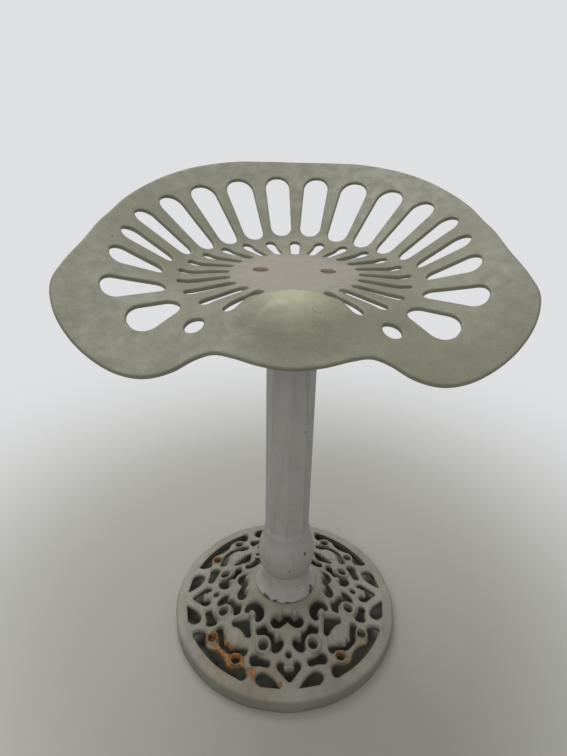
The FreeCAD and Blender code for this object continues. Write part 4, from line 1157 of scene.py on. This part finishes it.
class StoolStage(bpy.types.PropertyGroup):
    floor: FloatVectorProperty(
        name="Floor", description="Colour of the floor round the stool",
        default=linear("#b2b2aa")[:3], size=3, min=0.0, max=1.0, subtype="COLOR")
    light: FloatProperty(
        name="Light", description="Strength of the lamps; at 1 a colour renders about as written",
        default=1.0, min=0.0, max=3.0, subtype="FACTOR")


def cast_piece(thing, node):
    """Puts a finished casting in a CAD node's place."""
    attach(thing, BODY)
    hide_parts(node)


def dress_node(name, finish):
    """Gives a CAD node its finish."""
    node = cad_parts[name]
    node.data.materials.clear()
    node.data.materials.append(finish)


class STOOL_OT_make_foot(bpy.types.Operator):
    """Builds the pierced bell foot with its scrolls, shells and rim, and paints it"""
    bl_idname = "stool.make_foot"
    bl_label = "Make Foot"

    def execute(self, context):
        given = context.scene.stool_foot
        names = ("radius", "rim_height", "rim_round", "wall")
        sizes = {name: getattr(given, name) / MM for name in names}
        vertices, faces = foot_eighth(sizes)
        foot = plain_mesh("foot_painted", vertices, faces)
        paint = opaque(context.scene.stool_paint.foot)
        finish = foot_finish([paint, linear("#9a988d"), linear("#83806f")])
        run_tree(foot, turned_repeats(), {"Copies": 4, "Turn": given.turn, "Material": finish})
        cast_piece(foot, "foot_casting")
        return {"FINISHED"}


class STOOL_OT_make_column(bpy.types.Operator):
    """Builds the octagonal column with its vase and skirt, and paints it"""
    bl_idname = "stool.make_column"
    bl_label = "Make Column"

    def execute(self, context):
        given = context.scene.stool_column
        low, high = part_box("column")
        column = column_casting({
            "foot": low.z / MM, "top": high.z / MM, "flats": given.across_flats / MM,
            "vase": given.vase_radius / MM, "skirt": given.skirt_radius / MM})
        paint = opaque(context.scene.stool_paint.column)
        finish = column_finish([paint, linear("#a9a8a5"), linear("#94928b")])
        column.data.materials.append(finish)
        cast_piece(column, "column")
        return {"FINISHED"}


class STOOL_OT_make_seat(bpy.types.Operator):
    """Builds the dished, slotted pan seat and paints it"""
    bl_idname = "stool.make_seat"
    bl_label = "Make Seat"

    def execute(self, context):
        given = context.scene.stool_seat
        colours = context.scene.stool_paint
        finish = seat_finish([opaque(colours.seat), opaque(colours.seat_pale), linear("#6f6c62")])
        pan = seat_half_sheet()
        run_tree(pan, dished_pan(), {
            "Hub Height": given.hub_height, "Wall": given.wall, "Edge Radius": given.edge_radius,
            "Back Slope": given.back_slope, "Material": finish})
        cast_piece(pan, "seat_pan")
        return {"FINISHED"}


class STOOL_OT_finish_hardware(bpy.types.Operator):
    """Gives the flange, the tie rod, the bolts, the washers and the nuts their finishes"""
    bl_idname = "stool.finish_hardware"
    bl_label = "Finish Hardware"

    def execute(self, context):
        dress_node("top_flange", flange_finish())
        steel = steel_finish()
        for name in ("tie_rod", "tie_rod_washer", "tie_rod_lower_nut", "tie_rod_upper_nut",
                     "seat_bolts", "seat_bolt_washers", "seat_bolt_nuts"):
            dress_node(name, steel)
        return {"FINISHED"}


# Stage, in metres apart from the floor's half width, which is in millimetres as every mesh's sizes.
# The lamps are (place, target, width, watts). The camera's angles are its turn to the right, its
# tilt down and its roll, in degrees, and its focal length and the picture's height are in pixels.

BACKGROUND = "#dfe0e2"
FLOOR_HALF = 9000
SURROUND_LIGHT = 0.36
LAMPS = {"lamp_overhead": ((-0.35, 0.7, 2.3), (0, 0, 0.4), 1.2, 28),
         "lamp_front_left": ((-0.5, -1.9, 1.7), (0, 0, 0.2), 1.2, 11)}
CAMERA_PLACE = (-0.00065, -0.5643, 0.6849)
CAMERA_ANGLES = (-0.82, 28.72, 1.263)
FOCAL_LENGTH = 575.0
PICTURE_HEIGHT = 756.0
SENSOR_HEIGHT = 36.0


def seen_or_reflected(tree):
    """1 on rays from the camera, in reflections and through glass, and 0 where light is all they bring."""
    path = add(tree, "ShaderNodeLightPath")
    seen = path.outputs["Is Camera Ray"]
    for ray in ("Is Glossy Ray", "Is Transmission Ray"):
        seen = add(tree, "ShaderNodeMath", {0: seen, 1: path.outputs[ray]}, operation="MAXIMUM")
    return seen


def floor_finish(colour):
    # Plain matt studio floor: one pale tone round the stool that fades to near white far off, and
    # painted shade, darker, where the pierced foot covers it.
    finish, tree = new_finish("studio_floor_matt_board")
    place = add(tree, "ShaderNodeTexCoord").outputs["Object"]
    reach = add(tree, "ShaderNodeVectorMath", {0: place}, operation="LENGTH").outputs["Value"]
    far = add(tree, "ShaderNodeMapRange", {"Value": reach, "From Min": 0.25, "From Max": 0.95},
              interpolation_type="SMOOTHSTEP")
    # Painted shade: the floor under the foot's bell is darker
    under = add(tree, "ShaderNodeMapRange", {
        "Value": reach, "From Min": 0.125, "From Max": 0.145, "To Min": 1.0, "To Max": 0.0})
    tone = laid_over(tree, colour, [(under, linear("#66665c")), (far, linear("#dcdcda"))])
    matt = add(tree, "ShaderNodeBsdfDiffuse", {"Color": tone})
    white = add(tree, "ShaderNodeEmission", {"Color": linear(BACKGROUND), "Strength": 1.0})
    seen = add(tree, "ShaderNodeMath", {0: far, 1: seen_or_reflected(tree)}, operation="MULTIPLY")
    shader = add(tree, "ShaderNodeMixShader", {0: seen, 1: matt, 2: white})
    add(tree, "ShaderNodeOutputMaterial", {"Surface": shader})
    return finish


def soft_lamp(name, place, target, width, watts):
    """A square soft box that faces a point."""
    remove(name)
    light = bpy.data.lights.new(name, "AREA")
    light.shape = "SQUARE"
    light.size = width
    light.energy = watts
    lamp = bpy.data.objects.new(name, light)
    bpy.context.scene.collection.objects.link(lamp)
    lamp.location = place
    lamp.rotation_euler = (Vector(target) - Vector(place)).to_track_quat("-Z", "Y").to_euler()


def set_world(scene, strength):
    """A pale surround: near white where it is seen or reflected, and a plain grey fill as light."""
    world = bpy.data.worlds.new("studio_surround")
    scene.world = world
    world.use_nodes = True
    tree = world.node_tree
    tree.nodes.clear()
    fill = add(tree, "ShaderNodeBackground", {"Color": linear("#f7f6f3"), "Strength": strength})
    white = add(tree, "ShaderNodeBackground", {"Color": linear(BACKGROUND), "Strength": 1.0})
    both = add(tree, "ShaderNodeMixShader", {0: seen_or_reflected(tree), 1: fill, 2: white})
    add(tree, "ShaderNodeOutputWorld", {"Surface": both})


def set_camera(scene):
    """The camera that the photograph was taken from, with its slight lean."""
    remove("photograph_camera")
    lens = bpy.data.cameras.new("photograph_camera")
    lens.sensor_fit = "VERTICAL"
    lens.sensor_height = SENSOR_HEIGHT
    lens.lens = FOCAL_LENGTH / PICTURE_HEIGHT * SENSOR_HEIGHT
    camera = bpy.data.objects.new("photograph_camera", lens)
    scene.collection.objects.link(camera)
    yaw, pitch, roll = (math.radians(angle) for angle in CAMERA_ANGLES)
    ahead = Vector((math.sin(yaw) * math.cos(pitch), math.cos(yaw) * math.cos(pitch), -math.sin(pitch)))
    level = Vector((math.cos(yaw), -math.sin(yaw), 0))
    upright = level.cross(ahead)
    right = level * math.cos(roll) + upright * math.sin(roll)
    up = upright * math.cos(roll) - level * math.sin(roll)
    pose = Matrix((right, up, -ahead)).transposed().to_4x4()
    pose.translation = Vector(CAMERA_PLACE)
    camera.matrix_world = pose
    scene.camera = camera


class STOOL_OT_make_stage(bpy.types.Operator):
    """Sets the floor, the surround, the soft lamps and the camera"""
    bl_idname = "stool.make_stage"
    bl_label = "Make Stage"

    def execute(self, context):
        scene = context.scene
        given = scene.stool_stage
        corners = [(x * FLOOR_HALF, y * FLOOR_HALF, 0) for x, y in ((-1, -1), (1, -1), (1, 1), (-1, 1))]
        floor = plain_mesh("studio_floor", corners, [(0, 1, 2, 3)], False)
        floor.data.materials.append(floor_finish(opaque(given.floor)))
        for name, (place, target, width, watts) in LAMPS.items():
            soft_lamp(name, place, target, width, watts * given.light)
        set_world(scene, SURROUND_LIGHT * given.light)
        scene.view_settings.view_transform = "Standard"
        set_camera(scene)
        return {"FINISHED"}


class STOOL_PT_sidebar(bpy.types.Panel):
    """The stool's pieces and their sizes, in the order in which they are made"""
    bl_label = "Tractor Seat Stool"
    bl_idname = "STOOL_PT_sidebar"
    bl_space_type = "VIEW_3D"
    bl_region_type = "UI"
    bl_category = "Stool"

    def draw(self, context):
        for title, group, names, operator in PANEL_ROWS:
            box = self.layout.box()
            box.label(text=title)
            for name in names:
                box.prop(getattr(context.scene, group), name)
            box.operator(operator)


PANEL_ROWS = [
    ("Foot", "stool_foot", ("radius", "rim_height", "rim_round", "wall", "turn"), "stool.make_foot"),
    ("Column", "stool_column", ("across_flats", "vase_radius", "skirt_radius"), "stool.make_column"),
    ("Seat", "stool_seat", ("hub_height", "wall", "edge_radius", "back_slope"), "stool.make_seat"),
    ("Paint", "stool_paint", ("seat", "seat_pale", "column", "foot"), "stool.finish_hardware"),
    ("Stage", "stool_stage", ("floor", "light"), "stool.make_stage"),
]
GROUPS = {"stool_foot": StoolFootSizes, "stool_column": StoolColumnSizes, "stool_seat": StoolSeatSizes,
          "stool_paint": StoolPaint, "stool_stage": StoolStage}
CLASSES = (*GROUPS.values(), STOOL_OT_make_foot, STOOL_OT_make_column, STOOL_OT_make_seat,
           STOOL_OT_finish_hardware, STOOL_OT_make_stage, STOOL_PT_sidebar)


def register():
    for item in CLASSES:
        bpy.utils.register_class(item)
    for name, group in GROUPS.items():
        setattr(bpy.types.Scene, name, PointerProperty(type=group))


def unregister():
    for name in GROUPS:
        delattr(bpy.types.Scene, name)
    for item in reversed(CLASSES):
        bpy.utils.unregister_class(item)


def main():
    register()
    bpy.ops.stool.make_stage()
    bpy.ops.stool.make_foot()
    bpy.ops.stool.make_column()
    bpy.ops.stool.make_seat()
    bpy.ops.stool.finish_hardware()
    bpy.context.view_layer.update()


if __name__ == "__main__":
    main()
